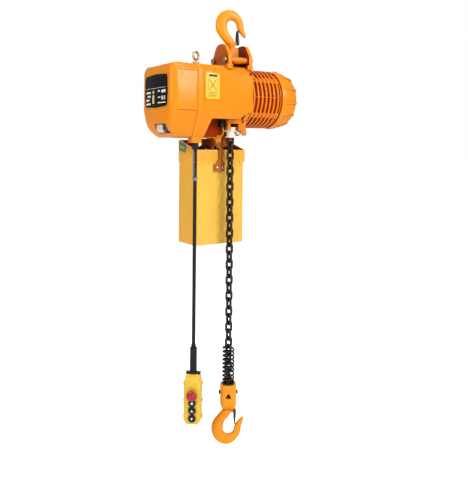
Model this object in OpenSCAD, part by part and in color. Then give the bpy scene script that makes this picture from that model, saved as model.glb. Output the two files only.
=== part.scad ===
// Electric chain hoist, hook suspended, single fall of load chain.
// Millimetres. +Z is up, X runs along the machine from the control box (-X) to the brake (+X),
// -Y is the front. Drawn about the machine's own centre (load line at x = 0, y = 0, main shaft
// at z = 0) and then dropped, so that the origin is the centre of the top hook's bowl.

/* [Load chain] */
// Wire diameter of the load chain
chain_d = 10; // [9.5:0.1:10.2]
// Inside length (pitch) of one link
chain_pitch = 30.2; // [30:0.1:30.4]
// Outside width of one link
chain_w = 33; // [32:0.25:33.5]

/* [Body] */
// Left end of the control cover
cover_x0 = -296; // [-304:1:-292]
// Half depth of the case
half_depth = 120; // [118:1:124]
// Wall of the control cover
cover_wall = 5; // [4:0.5:6]
// Height of the ear tops above the main shaft
ear_top = 198; // [192:1:202]

/* [Motor] */
// Outside radius over the cooling fins
fin_r = 117; // [114:1:118]
// Number of cooling fins
fin_n = 7; // [5:1:7]
// Far end of the brake cover
brake_x1 = 286; // [284:1:296]

/* [Hooks] */
// Turn of the top hook about the load line at rest
top_turn = -12; // [-180:1:180]
// Turn of the bottom hook about the load line at rest
low_turn = -30; // [-180:1:180]

/* [Chain bucket] */
// Width of the bucket
bucket_w = 220; // [200:1:224]
// Depth of the bucket
bucket_d = 134; // [124:1:138]
// Height of the bucket
bucket_h = 367; // [300:1:420]

/* [Pendant] */
// Top of the pendant case, below the main shaft
pend_z = -1035; // [-1100:1:-900]
// Turn of the pendant about its cable
pend_turn = -38; // [-60:1:0]

/* [Hidden] */
$fn = 48;

// facets of small holes and screws, and of pins
small = 24;
mid = 32;

// the main shaft stands behind the load line by the pivot radius of the wrapped chain
pockets = 5;
shaft_y = chain_pitch / (2 * sin(90 / pockets));
cover_x1 = -187;   // joint of control cover and gear case
flange_x = 38;     // start of the motor flange
case_top = 112;
case_bottom = -160;
case_front = shaft_y - half_depth;
case_back = shaft_y + half_depth;
top_hook_z = 271;
low_hook_z = -1278;

// gear train: module and teeth of the three stages
module_1 = 1.25;
teeth_1 = [16, 64];
module_2 = 1.75;
teeth_2 = [15, 60];
module_3 = 2.5;
teeth_3 = [13, 53];
// centre distances, then the shaft places as [y, z]
main_first = module_1 * (teeth_1[0] + teeth_1[1]) / 2;
first_second = module_2 * (teeth_2[0] + teeth_2[1]) / 2;
main_second = module_3 * (teeth_3[0] + teeth_3[1]) / 2;
first_angle = -90 - acos((pow(main_first, 2) + pow(main_second, 2) - pow(first_second, 2))
  / (2 * main_first * main_second));
main_at = [shaft_y, 0];
first_at = around(main_first, first_angle);
second_at = [shaft_y, -main_second];
second_angle = atan2(second_at[1] - first_at[1], second_at[0] - first_at[0]);

// shared screw and pin places, [y, z] for those along X
gear_cover_holes = [[-56, 86], [shaft_y, 101.5], [154, 84], [158, -40],
  [126, -138], [30, -149.5], [-60, -40]];
control_cover_holes = [for (z = [78, -54], s = [-1, 1]) [shaft_y + s * (half_depth - 5.2), z]];
motor_bolt_angles = [45:90:315];
motor_bolts = [for (a = motor_bolt_angles) around(104, a)];
spring_places = [for (a = [0:60:300]) around(62, a)];
brake_lug_angles = [30:120:270];
brake_cover_holes = [for (i = [0:3]) around(86, i * 90 + 53)];
yoke_pins = [[-46, 137], [38, 137]];
// [x, y] for those along Z
eye_at = [-174, -30];
cable_at = [-162, -10];
guide_holes = [for (x = [-24.5, 28], y = [-22, 25]) [x, y]];
bucket_pad_holes = [[-52, 20], [-40, 20]];
// [x, z] for those along Y
lever_pivot = [46, -138];
front_strap_holes = [[-42, -276], [-18, -276]];
rear_strap_holes = [[-42, -240], [-18, -240]];

orange = "#f79a1c";
dark_orange = "#c9650f";
steel = "#9a9a98";
black = "#1c1c1c";

// ---------------------------------------------------------------- helpers
module drop() translate([0, 0, -top_hook_z]) children();
// cylinders between two planes along each axis; at is the place on the other two axes
module xcyl(x0, x1, r, at = main_at, sides = 48)
  translate([x0, at[0], at[1]]) rotate([0, 90, 0]) cylinder(h = x1 - x0, r = r, $fn = sides);
module ycyl(y0, y1, r, at = [0, 0], sides = 48)
  translate([at[0], y1, at[1]]) rotate([90, 0, 0]) cylinder(h = y1 - y0, r = r, $fn = sides);
module zcyl(z0, z1, r, at = [0, 0], sides = 48)
  translate([at[0], at[1], z0]) cylinder(h = z1 - z0, r = r, $fn = sides);
module xcone(x0, x1, r0, r1)
  translate([x0, shaft_y, 0]) rotate([0, 90, 0]) cylinder(h = x1 - x0, r1 = r0, r2 = r1);
module xring(x0, x1, inner_r, outer_r, at = main_at) difference() {
  xcyl(x0, x1, outer_r, at);
  xcyl(x0 - 1, x1 + 1, inner_r, at);
}
module zring(z0, z1, inner_r, outer_r) difference() {
  zcyl(z0, z1, outer_r);
  zcyl(z0 - 1, z1 + 1, inner_r);
}
// outlines stretched between two planes along each axis
module xprism(x0, x1, outline)
  translate([x0, 0, 0]) rotate([90, 0, 90]) linear_extrude(x1 - x0) polygon(outline);
module yprism(y0, y1, outline)
  translate([0, y1, 0]) rotate([90, 0, 0]) linear_extrude(y1 - y0) polygon(outline);
module zprism(z0, z1, outline)
  translate([0, 0, z0]) linear_extrude(z1 - z0) polygon(outline);
module box(x0, x1, y0, y1, z0, z1)
  translate([x0, y0, z0]) cube([x1 - x0, y1 - y0, z1 - z0]);
// children turned about the main shaft; their +Y points outward
module turned(angle, x = 0) translate([x, shaft_y, 0]) rotate([angle, 0, 0]) children();
// hexagon head bolt lying along X, its head on the +X side of the seat
module hex_bolt(seat_x, length, r, head_r, head_h, at) union() {
  xcyl(seat_x, seat_x + head_h, head_r, at, 6);
  xcyl(seat_x - length, seat_x + 0.1, r, at, small);
}
// socket head screw along X; head, shank and socket are [x0, x1, r]
module socket_screw(at, head, shank, socket) difference() {
  union() {
    xcyl(head[0], head[1], head[2], at, small);
    xcyl(shank[0], shank[1], shank[2], at, small);
  }
  xcyl(socket[0], socket[1], socket[2], at, 6);
}

function around(r, angle, centre = main_at) = centre + r * [cos(angle), sin(angle)];
function rot(p, a) = [p[0] * cos(a) - p[1] * sin(a), p[0] * sin(a) + p[1] * cos(a)];
function unit(v) = v / norm(v);
function wrapped(list, i) = list[(i + len(list)) % len(list)];
// one corner of an outline turned into an arc of radius r
function corner(before, tip, after, r, steps) =
  let (u = unit(before - tip), v = unit(after - tip), half = acos(u * v) / 2,
       centre = tip + unit(u + v) * r / sin(half), side = cross(v, u) > 0 ? 1 : -1)
  r <= 0.01 ? [tip] : [for (i = [0:steps])
    centre + rot(tip + u * r / tan(half) - centre, side * (180 - 2 * half) * i / steps)];
// outline with rounded corners; r is one radius or a list, one for each corner
function soft(p, r, steps = 4) = [for (i = [0:len(p) - 1])
  each corner(wrapped(p, i - 1), p[i], wrapped(p, i + 1), is_list(r) ? r[i] : r, steps)];
// convex outline drawn in by t
function inset(p, t) = [for (i = [0:len(p) - 1])
  let (u = unit(wrapped(p, i - 1) - p[i]), v = unit(wrapped(p, i + 1) - p[i]),
       half = acos(u * v) / 2)
  p[i] + unit(u + v) * t / sin(half)];
function soft_rect(x0, x1, y0, y1, r, steps = 3) =
  soft([[x0, y0], [x1, y0], [x1, y1], [x0, y1]], r, steps);

// involute spur gear outline: stub teeth, 25 degree pressure angle, 0.07 backlash allowance
function involute(base_r, roll, start) = let (a = start + roll, arc = roll * PI / 180)
  [base_r * (cos(a) + arc * sin(a)), base_r * (sin(a) - arc * cos(a))];
function roll_at(base_r, r) = r <= base_r ? 0 : sqrt(pow(r / base_r, 2) - 1) * 180 / PI;
function roll_angle(roll) = roll - atan(roll * PI / 180);
function gear_outline(gear_module, teeth, steps = 3) =
  let (pitch_r = gear_module * teeth / 2, base_r = pitch_r * cos(25),
       tip_r = pitch_r + gear_module * 0.86, root_r = pitch_r - gear_module * 1.16,
       half = 90 / teeth - 0.07 / pitch_r * 180 / PI + roll_angle(roll_at(base_r, pitch_r)),
       roll0 = roll_at(base_r, max(base_r, root_r)), roll1 = roll_at(base_r, tip_r),
       root = root_r < base_r ? [[root_r * cos(-half), root_r * sin(-half)]] : [],
       flank = concat(root, [for (i = [0:steps])
         involute(base_r, roll0 + (roll1 - roll0) * i / steps, -half)]))
  [for (k = [0:teeth - 1]) let (turn = 360 * k / teeth) each concat(
    [for (p = flank) rot(p, turn)],
    [for (i = [len(flank) - 1:-1:0]) rot([flank[i][0], -flank[i][1]], turn)])];
module gear(x0, x1, gear_module, teeth, at, turn)
  translate([x0, at[0], at[1]]) rotate([90, 0, 90]) rotate(turn)
    linear_extrude(x1 - x0) polygon(gear_outline(gear_module, teeth));
// six lobed spline
function spline_outline(r, groove) =
  [for (k = [0:5], s = [0:3])
    let (a = 60 * k + [-15, -11, 11, 15][s], q = (s == 0 || s == 3) ? r - groove : r)
    [q * cos(a), q * sin(a)]];
module spline(x0, x1, r, groove, at)
  translate([x0, at[0], at[1]]) rotate([90, 0, 90])
    linear_extrude(x1 - x0) polygon(spline_outline(r, groove));
// ring of six lightening holes in a gear
module gear_holes(x0, x1, r, circle_r, at)
  for (i = [0:5]) xcyl(x0, x1, r, around(circle_r, i * 60, at), 8);

// one chain link standing along Z, its width along X; drawn a shade thin so that links clear
module link(wire = chain_d, pitch = chain_pitch, width = chain_w, sides = 20) {
  thin_wire = wire - 0.12;
  bend_r = (width - wire) / 2;
  half = (pitch + wire) / 2 - bend_r;
  for (s = [-1, 1])
    translate([s * bend_r, 0, -half]) cylinder(h = 2 * half, d = thin_wire, $fn = sides);
  for (s = [0, 180])
    rotate([0, s, 0]) translate([0, 0, half]) rotate([90, 0, 0])
      rotate_extrude(angle = 180, $fn = 28)
        translate([bend_r, 0]) circle(d = thin_wire, $fn = sides);
}
// link i hangs i pitches below the main shaft, every second one a quarter turn round
function link_z(i) = -(i + 0.5) * chain_pitch;
function link_turn(i) = 90 * ((i + 1) % 2);
module run(first, last)
  for (i = [first:last]) translate([0, 0, link_z(i)]) rotate([0, 0, link_turn(i)]) link();
// closed skin over rings of equal length
module skin(rings) {
  n = len(rings);
  k = len(rings[0]);
  polyhedron(
    points = [for (ring = rings, p = ring) p],
    faces = concat(
      [[for (j = [k - 1:-1:0]) j]],
      [for (i = [0:n - 2], j = [0:k - 1]) each [
        [(i + 1) * k + (j + 1) % k, (i + 1) * k + j, i * k + j],
        [i * k + (j + 1) % k, (i + 1) * k + (j + 1) % k, i * k + j]]],
      [[for (j = [0:k - 1]) (n - 1) * k + j]]));
}

// ---------------------------------------------------------------- gear case
// case section in [y, z], drawn in by t
case_corners = [[-28, case_bottom], [2 * shaft_y + 28, case_bottom], [case_back, -62],
  [case_back, 90], [case_back - 22, case_top], [case_front + 22, case_top],
  [case_front, 90], [case_front, -62]];
function section(t = 0, r = 12) = soft(inset(case_corners, t), max(r - t, 1.5), 3);
// front half seen from the front in [x, z], its underside raised by t
function front_outline(t = 0) = soft(
  [[cover_x1 - 2, case_bottom - 5], [-140, case_bottom - 5],
   [-138 + t, case_bottom + 4 + t], [-119 + t, -88 + t], [2, -88 + t],
   [flange_x, -60 + t], [70, -60 + t], [70, 130], [cover_x1 - 2, 130]],
  [0, 0, 6, 8, 8, 6, 0, 0, 0], 3);
module ear(x0, x1) difference() {
  xprism(x0, x1, soft([[-68, 100], [62, 100], [50, 138], [18, ear_top], [-36, ear_top],
    [-66, 152]], [0, 0, 20, 34, 34, 24], 6));
  for (p = yoke_pins) xcyl(x0 - 1, x1 + 1, 8.2, p);
}
// removes the low front of the gear end
module low_front(y1, z1) box(-200, -100, -90, y1, -200, z1);
module housing_solid() union() {
  // front half, cut away under the chain outlet
  intersection() {
    xprism(cover_x1, flange_x + 1, section());
    yprism(-90, 12, front_outline());
  }
  // rear half goes to the full depth
  difference() {
    intersection() {
      xprism(cover_x1, 34, section());
      box(-200, 40, 11, 200, -161, 120);
    }
    box(-34, 40, 10, 36, -170, -104);
  }
  // flange band round the joint
  difference() {
    xprism(cover_x1, -164, section(-1.2));
    box(-200, -150, -90, 12, -200, -163);
  }
  xcyl(flange_x, 57, fin_r + 2);
  // shoulder that carries the front face on to the motor flange
  xprism(20, 57, soft_rect(case_front, -30, -62, 80, [6, 14, 14, 6]));
  ear(-54, -40);
  ear(40, 54);
  for (s = [-1, 1]) box(s > 0 ? 34 : -58, s > 0 ? 57 : -34, -66, 62, 100, 118);
  // outlet of the slack side
  zprism(-192, -150, soft_rect(-34, 34, 70, 128, 8));
  // pads for the guide and the bucket bracket
  box(-30, 34, -28, 40, -104, -80);
  box(-58, -34, 12, 30, -176, -150);
  // boss of the cable gland
  zprism(-179.6, -155, soft_rect(-186.5, -143, -27, 7, 5));
  // raised pad of the side plate
  box(-160, -92, case_front - 0.8, -60, -22, 82);
}
// gear cavity, the ledge for its cover, and the space up to the pocket wheel
module gear_space() {
  difference() {
    intersection() {
      xprism(-180, -104, section(15, 14));
      union() {
        yprism(-90, 16, front_outline(12));
        box(-200, -90, 15, 200, -161, 120);
      }
    }
    low_front(10, -128);
    // webs that carry the inner bearings
    xcyl(-112, -100, 48);
    xcyl(-110, -100, 28, second_at);
  }
  difference() {
    xprism(cover_x1 - 1, -178.9, section(8, 14));
    low_front(10.2, -128);
  }
  difference() {
    intersection() {
      xprism(-84, -48, section(15, 14));
      yprism(-90, 200, front_outline(12));
    }
    xcyl(-90, -40, 44);
  }
}
module housing_bores() {
  // pocket wheel chamber, with an outlet down on each side
  xcyl(-26, 26, 77);
  box(-19.5, 19.5, -19.5, 22, -110, -10);
  zcyl(-110, -70, 19.5);
  box(-22, 22, 80, 118, -193, -10);
  // bearing seats and shaft passage
  xcyl(-106, -90, 34.05);
  xcyl(25, 42, 36.05);
  xcyl(-120, 60, 22);
  xcyl(43, 58, 26.05);
  xcyl(-112, -92, 17.05, second_at);
  // spigot seat and bolt holes of the motor
  xring(51, 58, 40, 90);
  for (p = motor_bolts) xcyl(30, 60, 4.2, p, small);
  // cable pocket of the pendant, open to the control box
  box(cover_x1 - 1, -155, -24, 4, -154, -134);
  zcyl(-182, -150, 10.05, cable_at);
  // holes: lifting eye, covers, guide, bucket
  zcyl(90, 118, 6.05, eye_at);
  for (p = gear_cover_holes) xcyl(-188, -166, 2.6, p, small);
  for (p = control_cover_holes) xcyl(cover_x1 - 1, cover_x1 + 14, 2.1, p, small);
  for (p = guide_holes) zcyl(-105, -88, 2.6, p, small);
  for (p = bucket_pad_holes) zcyl(-177, -160, 3.1, p, small);
}
module main_housing() color(orange) drop() difference() {
  housing_solid();
  gear_space();
  housing_bores();
}
module gearbox_cover() color(steel) drop() difference() {
  union() {
    difference() {
      xprism(cover_x1 + 0.2, -180.1, section(8.3, 14));
      low_front(10.6, -127.6);
    }
    xcyl(-188, -178.6, 19, first_at);
    xcyl(-192, -181, 22, second_at);
  }
  xcyl(-186, -178, 13.05, first_at);
  xcyl(-189, -178, 15.05, second_at);
  for (p = gear_cover_holes) xcyl(-190, -178, 3.2, p, small);
}
module bearing_plate() color(steel) drop() difference() {
  xprism(-146, -138, soft([[-20, -60], [40, -126], [80, -126], [108, -60], [96, 38],
    [30, 44], [-34, 8]], 14));
  xcyl(-147, -137, 15.05);
  xcyl(-147, -137, 12.05, first_at);
  xcyl(-147, -137, 21, second_at);
}
// bearing rings: x0, x1, inner radius, outer radius, place
bearing_table = [
  // main shaft: pinion end, motor end, brake end
  [-146, -138, 8.05, 15, main_at], [44, 56, 12.05, 26, main_at],
  [177, 188.8, 12.05, 24, main_at],
  // pocket wheel
  [-105.9, -92, 20.05, 34, main_at], [27, 41.9, 20.05, 36, main_at],
  // first and second shafts
  [-185.8, -179, 7.05, 13, first_at], [-146, -138, 7.05, 12, first_at],
  [-188.8, -179, 8.05, 15, second_at], [-108, -93, 8.05, 17, second_at]];
module bearings() color(steel) drop()
  for (b = bearing_table) xring(b[0], b[1], b[2], b[3], b[4]);

// ---------------------------------------------------------------- control box
// cover shape drawn in by t: slices that shrink towards the left end
module cover_form(t) hull() {
  xprism(cover_x0 + 34, cover_x1 + (t > 0 ? 1 : 0), section(t, 16));
  xprism(cover_x0 + 20, cover_x0 + 21, section(t + 1.6, 20));
  xprism(cover_x0 + 9 + t * 0.4, cover_x0 + 10 + t * 0.4, section(t + 6, 26));
  xprism(cover_x0 + 2.6 + t * 0.8, cover_x0 + 3.6 + t * 0.8, section(t + 12.5, 34));
  xprism(cover_x0 + t, cover_x0 + t + 0.5, section(t + 19, 40));
}
// what is cut off the lower left edge
module slope_cut() yprism(-200, 300, [[cover_x0 - 8, -84], [cover_x0 + 16, -132],
  [cover_x0 + 60, -172], [cover_x0 - 8, -180]]);
// recess of the plugs, grown by t
module plug_well(t) intersection() {
  xprism(cover_x0 - 9, cover_x0 + 38 + t, [[-14 - t, -145 - t], [80 + t, -145 - t],
    [80 + t, -110 + t], [-14 - t, -110 + t]]);
  yprism(-100, 200, [[cover_x0 - 20, -190], [cover_x0 - 20, -90],
    [cover_x0 + 38 + t, -90], [cover_x0 + 38 + t, -190]]);
}
// outline of the capacity plate in [y, z], slightly barrel shaped, grown by t
function plate_outline(t) = soft(
  [[-42 - t, -47 - t], [46, -52 - t], [134 + t, -47 - t], [138 + t, 10],
   [134 + t, 66 + t], [46, 71 + t], [-42 - t, 66 + t], [-46 - t, 10]],
  [12, 60, 12, 60, 12, 60, 12, 60], 3);
supply_at = [-236, -20]; // supply cable entry, [x, z]
module control_cover() color(orange) drop() difference() {
  union() {
    difference() {
      union() {
        difference() {
          cover_form(0);
          slope_cut();
        }
        xprism(cover_x0 - 1.4, cover_x0 + 4, plate_outline(5));
      }
      difference() {
        cover_form(cover_wall);
        translate([cover_wall, 0, cover_wall * 0.6]) slope_cut();
        plug_well(3);
      }
    }
    // boss of the supply cable entry, on the back
    ycyl(case_back - 8, case_back + 4, 20, supply_at);
    // bosses of the cover screws
    for (p = control_cover_holes) intersection() {
      xcyl(cover_x1 - 18, cover_x1, 10, p);
      xprism(cover_x1 - 30, cover_x1, section());
    }
  }
  plug_well(0);
  xprism(cover_x0 - 3, cover_x0 - 0.2, plate_outline(0.4));
  ycyl(case_back - 12, case_back + 8, 12.5, supply_at);
  for (p = control_cover_holes) {
    xcyl(cover_x1 - 19, cover_x1 - 5.1, 4.4, p, small);
    xcyl(cover_x1 - 6, cover_x1 + 1, 2.4, p, small);
  }
  // room for the heads of the gear case screws
  for (p = gear_cover_holes) xcyl(cover_x1 - 6, cover_x1 + 1, 6, p, small);
  // lines on the front, under the top edge and at the lower bend
  box(cover_x0 + 26, cover_x1 - 1.5, case_front - 4, case_front + 1.8, 81, 83.4);
  box(cover_x0 + 26, cover_x1 - 5, case_front - 4, case_front + 2.4, -62.6, -60.6);
}
module cover_screws() color(steel) drop() {
  for (p = gear_cover_holes) socket_screw(p,
    head = [-191.6, -187.05, 5],
    shank = [-187.1, -168, 2.55],
    socket = [-192, -189, 2.6]);
  for (p = control_cover_holes) socket_screw(p,
    head = [cover_x1 - 9, cover_x1 - 5.12, 3.8],
    shank = [cover_x1 - 5.2, cover_x1 + 12, 2.05],
    socket = [cover_x1 - 9.5, cover_x1 - 6.4, 2]);
}
module capacity_plate() color(black) drop()
  xprism(cover_x0 - 2.4, cover_x0 - 0.4, plate_outline(0));
module side_plate() color("#ffd24a") drop()
  yprism(case_front - 1.85, case_front - 0.85, soft_rect(-156, -96, -17, 77, 3, 2));
module contactors() color("#3a3a3c") drop() for (y = [-40, 14]) difference() {
  union() {
    box(-244, -187.2, y, y + 45, 14, 78);
    box(-254, -243, y + 5, y + 40, 26, 66);
  }
  for (i = [0:2], z = [8, 74]) box(-246, -234, y + 4 + i * 14, y + 13 + i * 14, z, z + 10);
  for (i = [0:2]) box(-246, -240, y + 6 + i * 14, y + 11 + i * 14, 15, 22);
}
module transformer() color("#6b4a2b") drop() {
  // core and coil
  difference() {
    box(-240, -192.2, 72, 136, 0, 70);
    for (z = [12, 46]) box(-250, -180, 80, 128, z, z + 12);
  }
  box(-246, -238, 84, 124, 14.5, 55.5);
  // terminal strip
  difference() {
    box(-206, -190.2, -30, 120, -58, -40);
    for (i = [0:9]) box(-210, -198, -27 + i * 15, -18 + i * 15, -54, -44);
  }
}
module mains_socket() color("#4c4a28") drop() difference() {
  union() {
    box(cover_x0 + 26, cover_x0 + 37.9, -12, 30, -140, -112);
    box(cover_x0 + 17, cover_x0 + 27, -7, 25, -136, -116);
  }
  for (y = [0, 9, 18]) xcyl(cover_x0 + 10, cover_x0 + 26, 3, [y, -126], small);
  translate([0.4, 0, 0.4]) slope_cut();
}
module plug_block() color("#f2efe6") drop() difference() {
  box(cover_x0 + 18, cover_x0 + 37.9, 36, 76, -142, -112);
  for (y = [42, 52, 62]) box(cover_x0 + 10, cover_x0 + 24, y, y + 7, -138, -118);
  translate([0.4, 0, 0.4]) slope_cut();
}
module lifting_eye() color("#c2b48a") drop() union() {
  translate([eye_at[0], eye_at[1], 141]) rotate([90, 0, 20])
    rotate_extrude() translate([14.5, 0]) circle(r = 4.3, $fn = 20);
  zcyl(case_top + 1.3, 119, 12, eye_at);
  zcyl(118, 125, 6, eye_at);
  zcyl(92, case_top + 2, 6, eye_at);
}

// ---------------------------------------------------------------- motor and brake
motor_x = 57.05;    // motor frame face
magnet_x = 190.05;  // brake magnet face
fin_pitch = 19.2;
module motor_frame() color(orange) drop() difference() {
  union() {
    xcyl(motor_x, 190, 101);
    for (i = [0:fin_n - 1]) xcyl(63 + i * fin_pitch, 69.8 + i * fin_pitch, fin_r);
    xcyl(motor_x, 61, 110);
    xring(189.9, 204, 91, 101);
    xring(197, 204, 91, 110);
    // four wide bars across the fins
    for (a = [37, 143, 217, 323]) turned(a, motor_x) box(0, 141, 92, fin_r - 3, -11, 11);
    // thin bars at front and back
    for (a = [0, 180]) turned(a, motor_x) box(0, 120, 95, fin_r + 0.6, -1, 1);
    // spigot
    xring(51.2, 58, 76, 89.9);
  }
  xcyl(50, 172, 80.05);
  xcyl(170, 189, 24.05);
  xcyl(180, 195, 16);
  for (p = motor_bolts) xcyl(50, 76, 4.2, p, small);
  for (a = motor_bolt_angles) xcyl(61.05, 84, 8.6, around(105, a), small);
}
module stator_core() color("#6d6f72") drop() difference() {
  xcyl(78, 156, 80.03);
  xcyl(70, 170, 55);
  for (i = [0:17]) turned(i * 20, 70) box(0, 100, 53, 66, -2.4, 2.4);
}
module stator_windings() color("#b5652b") drop() for (x = [64.5, 156.2])
  translate([x, shaft_y, 0]) rotate([0, 90, 0])
    rotate_extrude() polygon(soft_rect(57, 77, 0, 13.4, 4));
module flange_bolts() color(steel) drop() for (p = motor_bolts)
  hex_bolt(61.1, length = 28, r = 4, head_r = 7, head_h = 5, at = p);
module rotor_core() color("#8b8d90") drop() difference() {
  union() {
    xcyl(80, 154, 54);
    for (x = [74, 153.9]) xring(x, x + 6.1, 36, 52);
  }
  xcyl(70, 180, 14.02);
}
module motor_shaft() color(steel) drop() union() {
  xcyl(72, 162, 14);
  xcyl(43.5, 194, 12);
  xcyl(-167, 44, 8);
  // pinion cut on the end, spline for the brake disc
  gear(-177, -167, module_1, teeth_1[0], main_at, first_angle);
  spline(193.9, 244, 11.5, 1.6, main_at);
}
module brake_magnet() color("#4a4d50") drop() difference() {
  union() {
    xcyl(magnet_x, 218, 68);
    for (a = brake_lug_angles) {
      xcyl(magnet_x, 236, 5, around(78, a), small);
      turned(a, magnet_x) box(0, 27.95, 60, 86, -9, 9);
    }
    xring(235.9, 243, 16, 87);
  }
  xcyl(180, 230, 17);
  // coil groove and spring holes
  difference() {
    xcyl(208, 219, 56);
    xcyl(200, 220, 36);
  }
  for (p = spring_places) xcyl(204, 219, 4.6, p, small);
}
module brake_springs() color(steel) drop()
  for (p = spring_places) xring(204.2, 218.1, 2.4, 4.2, p);
module brake_armature() color("#7b7d80") drop() difference() {
  union() {
    xcyl(218.7, 226.2, 68);
    for (a = brake_lug_angles) turned(a, 218.7) box(0, 7.5, 60, 85, -9, 9);
  }
  xcyl(210, 240, 20);
  for (a = brake_lug_angles) xcyl(210, 240, 5.4, around(78, a), small);
}
module brake_disc() color("#5b4a3a") drop() difference() {
  union() {
    xcyl(226.4, 235.7, 66);
    xcyl(222.6, 236, 15.8);
  }
  spline(210, 250, 11.55, 1.6, main_at);
}
rib_count = 12;
module brake_rib() yprism(-4.5, 4.5, [[216, 112], [225, fin_r + 2.5], [238, fin_r + 3],
  [brake_x1 - 2, 106], [brake_x1 + 3, 100], [brake_x1 + 3, 90], [brake_x1 - 1, 62],
  [brake_x1 - 5, 62], [230, 112]]);
module brake_cover() color(orange) drop() difference() {
  union() {
    xcyl(204.05, 240, fin_r);
    xcone(240, brake_x1 - 4, fin_r, 101);
    xcyl(brake_x1 - 4.1, brake_x1, 99);
    for (i = [0:rib_count - 1]) turned(i * 360 / rib_count + 8) brake_rib();
    xcyl(brake_x1 - 3, brake_x1 + 2, 36);
  }
  xcyl(203, 240, fin_r - 6);
  xcone(239.9, brake_x1 - 8, fin_r - 6, 94);
  for (p = brake_cover_holes) xcyl(250, brake_x1 + 5, 2.6, p, small);
}
module brake_screws() color(steel) drop() {
  for (p = brake_cover_holes)
    hex_bolt(brake_x1 + 0.1, length = 16, r = 2.5, head_r = 5, head_h = 3.5, at = p);
  // plug in the middle of the end face
  xcyl(brake_x1 + 2.1, brake_x1 + 7.1, 8, sides = 6);
}

// ------------------------------------------------------------ gear train and pocket wheel
module first_gear() color(steel) drop() difference() {
  gear(-176.6, -167.4, module_1, teeth_1[1], first_at, first_angle + 180 + 180 / teeth_1[1]);
  spline(-180, -160, 9.03, 1.4, first_at);
  gear_holes(-180, -160, r = 6, circle_r = 24, at = first_at);
}
module first_shaft() color(steel) drop() union() {
  xcyl(-185.5, -176, 7, first_at);
  spline(-178, -166.5, 9, 1.4, first_at);
  xcyl(-166.6, -164, 10, first_at);
  gear(-164.1, -148, module_2, teeth_2[0], first_at, second_angle);
  xcyl(-148.1, -138.2, 7, first_at);
}
module second_gear() color(steel) drop() difference() {
  gear(-163.6, -148.4, module_2, teeth_2[1], second_at,
    second_angle + 180 + 180 / teeth_2[1]);
  spline(-170, -140, 12.03, 1.6, second_at);
  gear_holes(-180, -140, r = 8.5, circle_r = 32, at = second_at);
}
module second_shaft() color(steel) drop() union() {
  xcyl(-188.5, -166, 8, second_at);
  spline(-166.1, -146.2, 12, 1.6, second_at);
  xcyl(-146.3, -136, 13, second_at);
  gear(-136.1, -112, module_3, teeth_3[0], second_at, 90);
  xcyl(-112.1, -93.4, 8, second_at);
}
module load_gear() color(steel) drop() difference() {
  gear(-135.6, -112.4, module_3, teeth_3[1], main_at, 270 + 180 / teeth_3[1]);
  spline(-140, -100, 21.03, 2, main_at);
  gear_holes(-180, -90, r = 9, circle_r = 43, at = main_at);
}
module load_sheave() color("#777a7d") drop() difference() {
  union() {
    xcyl(-22, 22, 60);
    xcyl(-25.6, 25.6, 28);
    xcyl(-111, 41.5, 20);
    spline(-137, -111, 21, 2, main_at);
  }
  xcyl(-140, 50, 9.5);
  // groove for the upright links
  xring(-6.4, 6.4, 29.4, 64);
  // pockets for the links that lie flat
  for (i = [0:pockets - 1]) turned(i * 360 / pockets) {
    translate([-17.4, -20.6, 41.2]) cube([34.8, 41.2, 30]);
    translate([-11.5, -26, 41.2]) cube([23, 52, 30]);
    xprism(-17.4, 17.4, [[-21, 41.2], [21, 41.2], [30, 44], [41, 62], [-41, 62], [-30, 44]]);
  }
}

// ---------------------------------------------------------------- suspension
module suspension_yoke() color(orange) drop() difference() {
  union() {
    for (p = yoke_pins) xcyl(-39.6, 39.6, 12, p);
    zprism(122, 186, soft_rect(-21, 21, -24, 24, 5));
    zprism(185.9, 189, soft_rect(-18, 18, -21, 21, 5));
    zprism(128, 146, soft_rect(-27, 27, -46, 38, 3, 2));
    yprism(-50, -30, soft_rect(-30, 16, 124, 148, 4));
  }
  zcyl(100, 200, 10.3);
  zcyl(110, 170, 17);
  for (p = yoke_pins) xcyl(-50, 50, 8.2, p);
}
module suspension_pins() color("#c9b98e") drop() {
  for (p = yoke_pins) {
    union() {
      xcyl(-58, 60, 8, p, mid);
      xcyl(-62, -54.2, 11, p, mid);
      xcyl(59.9, 68, 5, p, small);
    }
    difference() {
      xcyl(54.3, 62.3, 12.5, p, 6);
      xcyl(50, 66, 8.1, p, mid);
    }
  }
  // keeper screw of the pin heads
  xcyl(-57, -54.1, 6, [-4, 146], small);
}
// hook centre line from the neck round to the tip: across, up, half thickness, half depth
hook_stations = [
  [0, 71.6, 13.6, 13.6], [-1.5, 65.4, 14.6, 14.2], [-8, 57, 17, 14.6], [-15, 49, 17.6, 14.8],
  [-22.6, 41, 17.3, 15], [-28.4, 33.5, 18.2, 15], [-33.5, 25, 19.8, 15], [-37.8, 17, 21, 15],
  [-40.8, 8.5, 21.8, 15], [-42, -1, 22.2, 15], [-41, -12, 22.4, 15], [-37.6, -23, 22.2, 15],
  [-31, -33, 22, 15], [-22, -40.5, 21.4, 15], [-12, -45, 20.8, 15], [-1, -45.6, 19.8, 14.6],
  [10, -42.6, 18.2, 14], [20.6, -36, 16, 13.4], [28, -28.6, 14.6, 12.8], [33, -19.6, 14, 12],
  [35.8, -9.6, 13.6, 11.2], [38, 1, 13.2, 10.6], [41.6, 10, 11.4, 9.6], [46.4, 18, 9.8, 8.8],
  [51.4, 26.4, 7.8, 7.8], [55.4, 33, 5.6, 6.2], [57.8, 37.4, 3.2, 4], [58.8, 39.2, 1, 1.6]];
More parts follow.
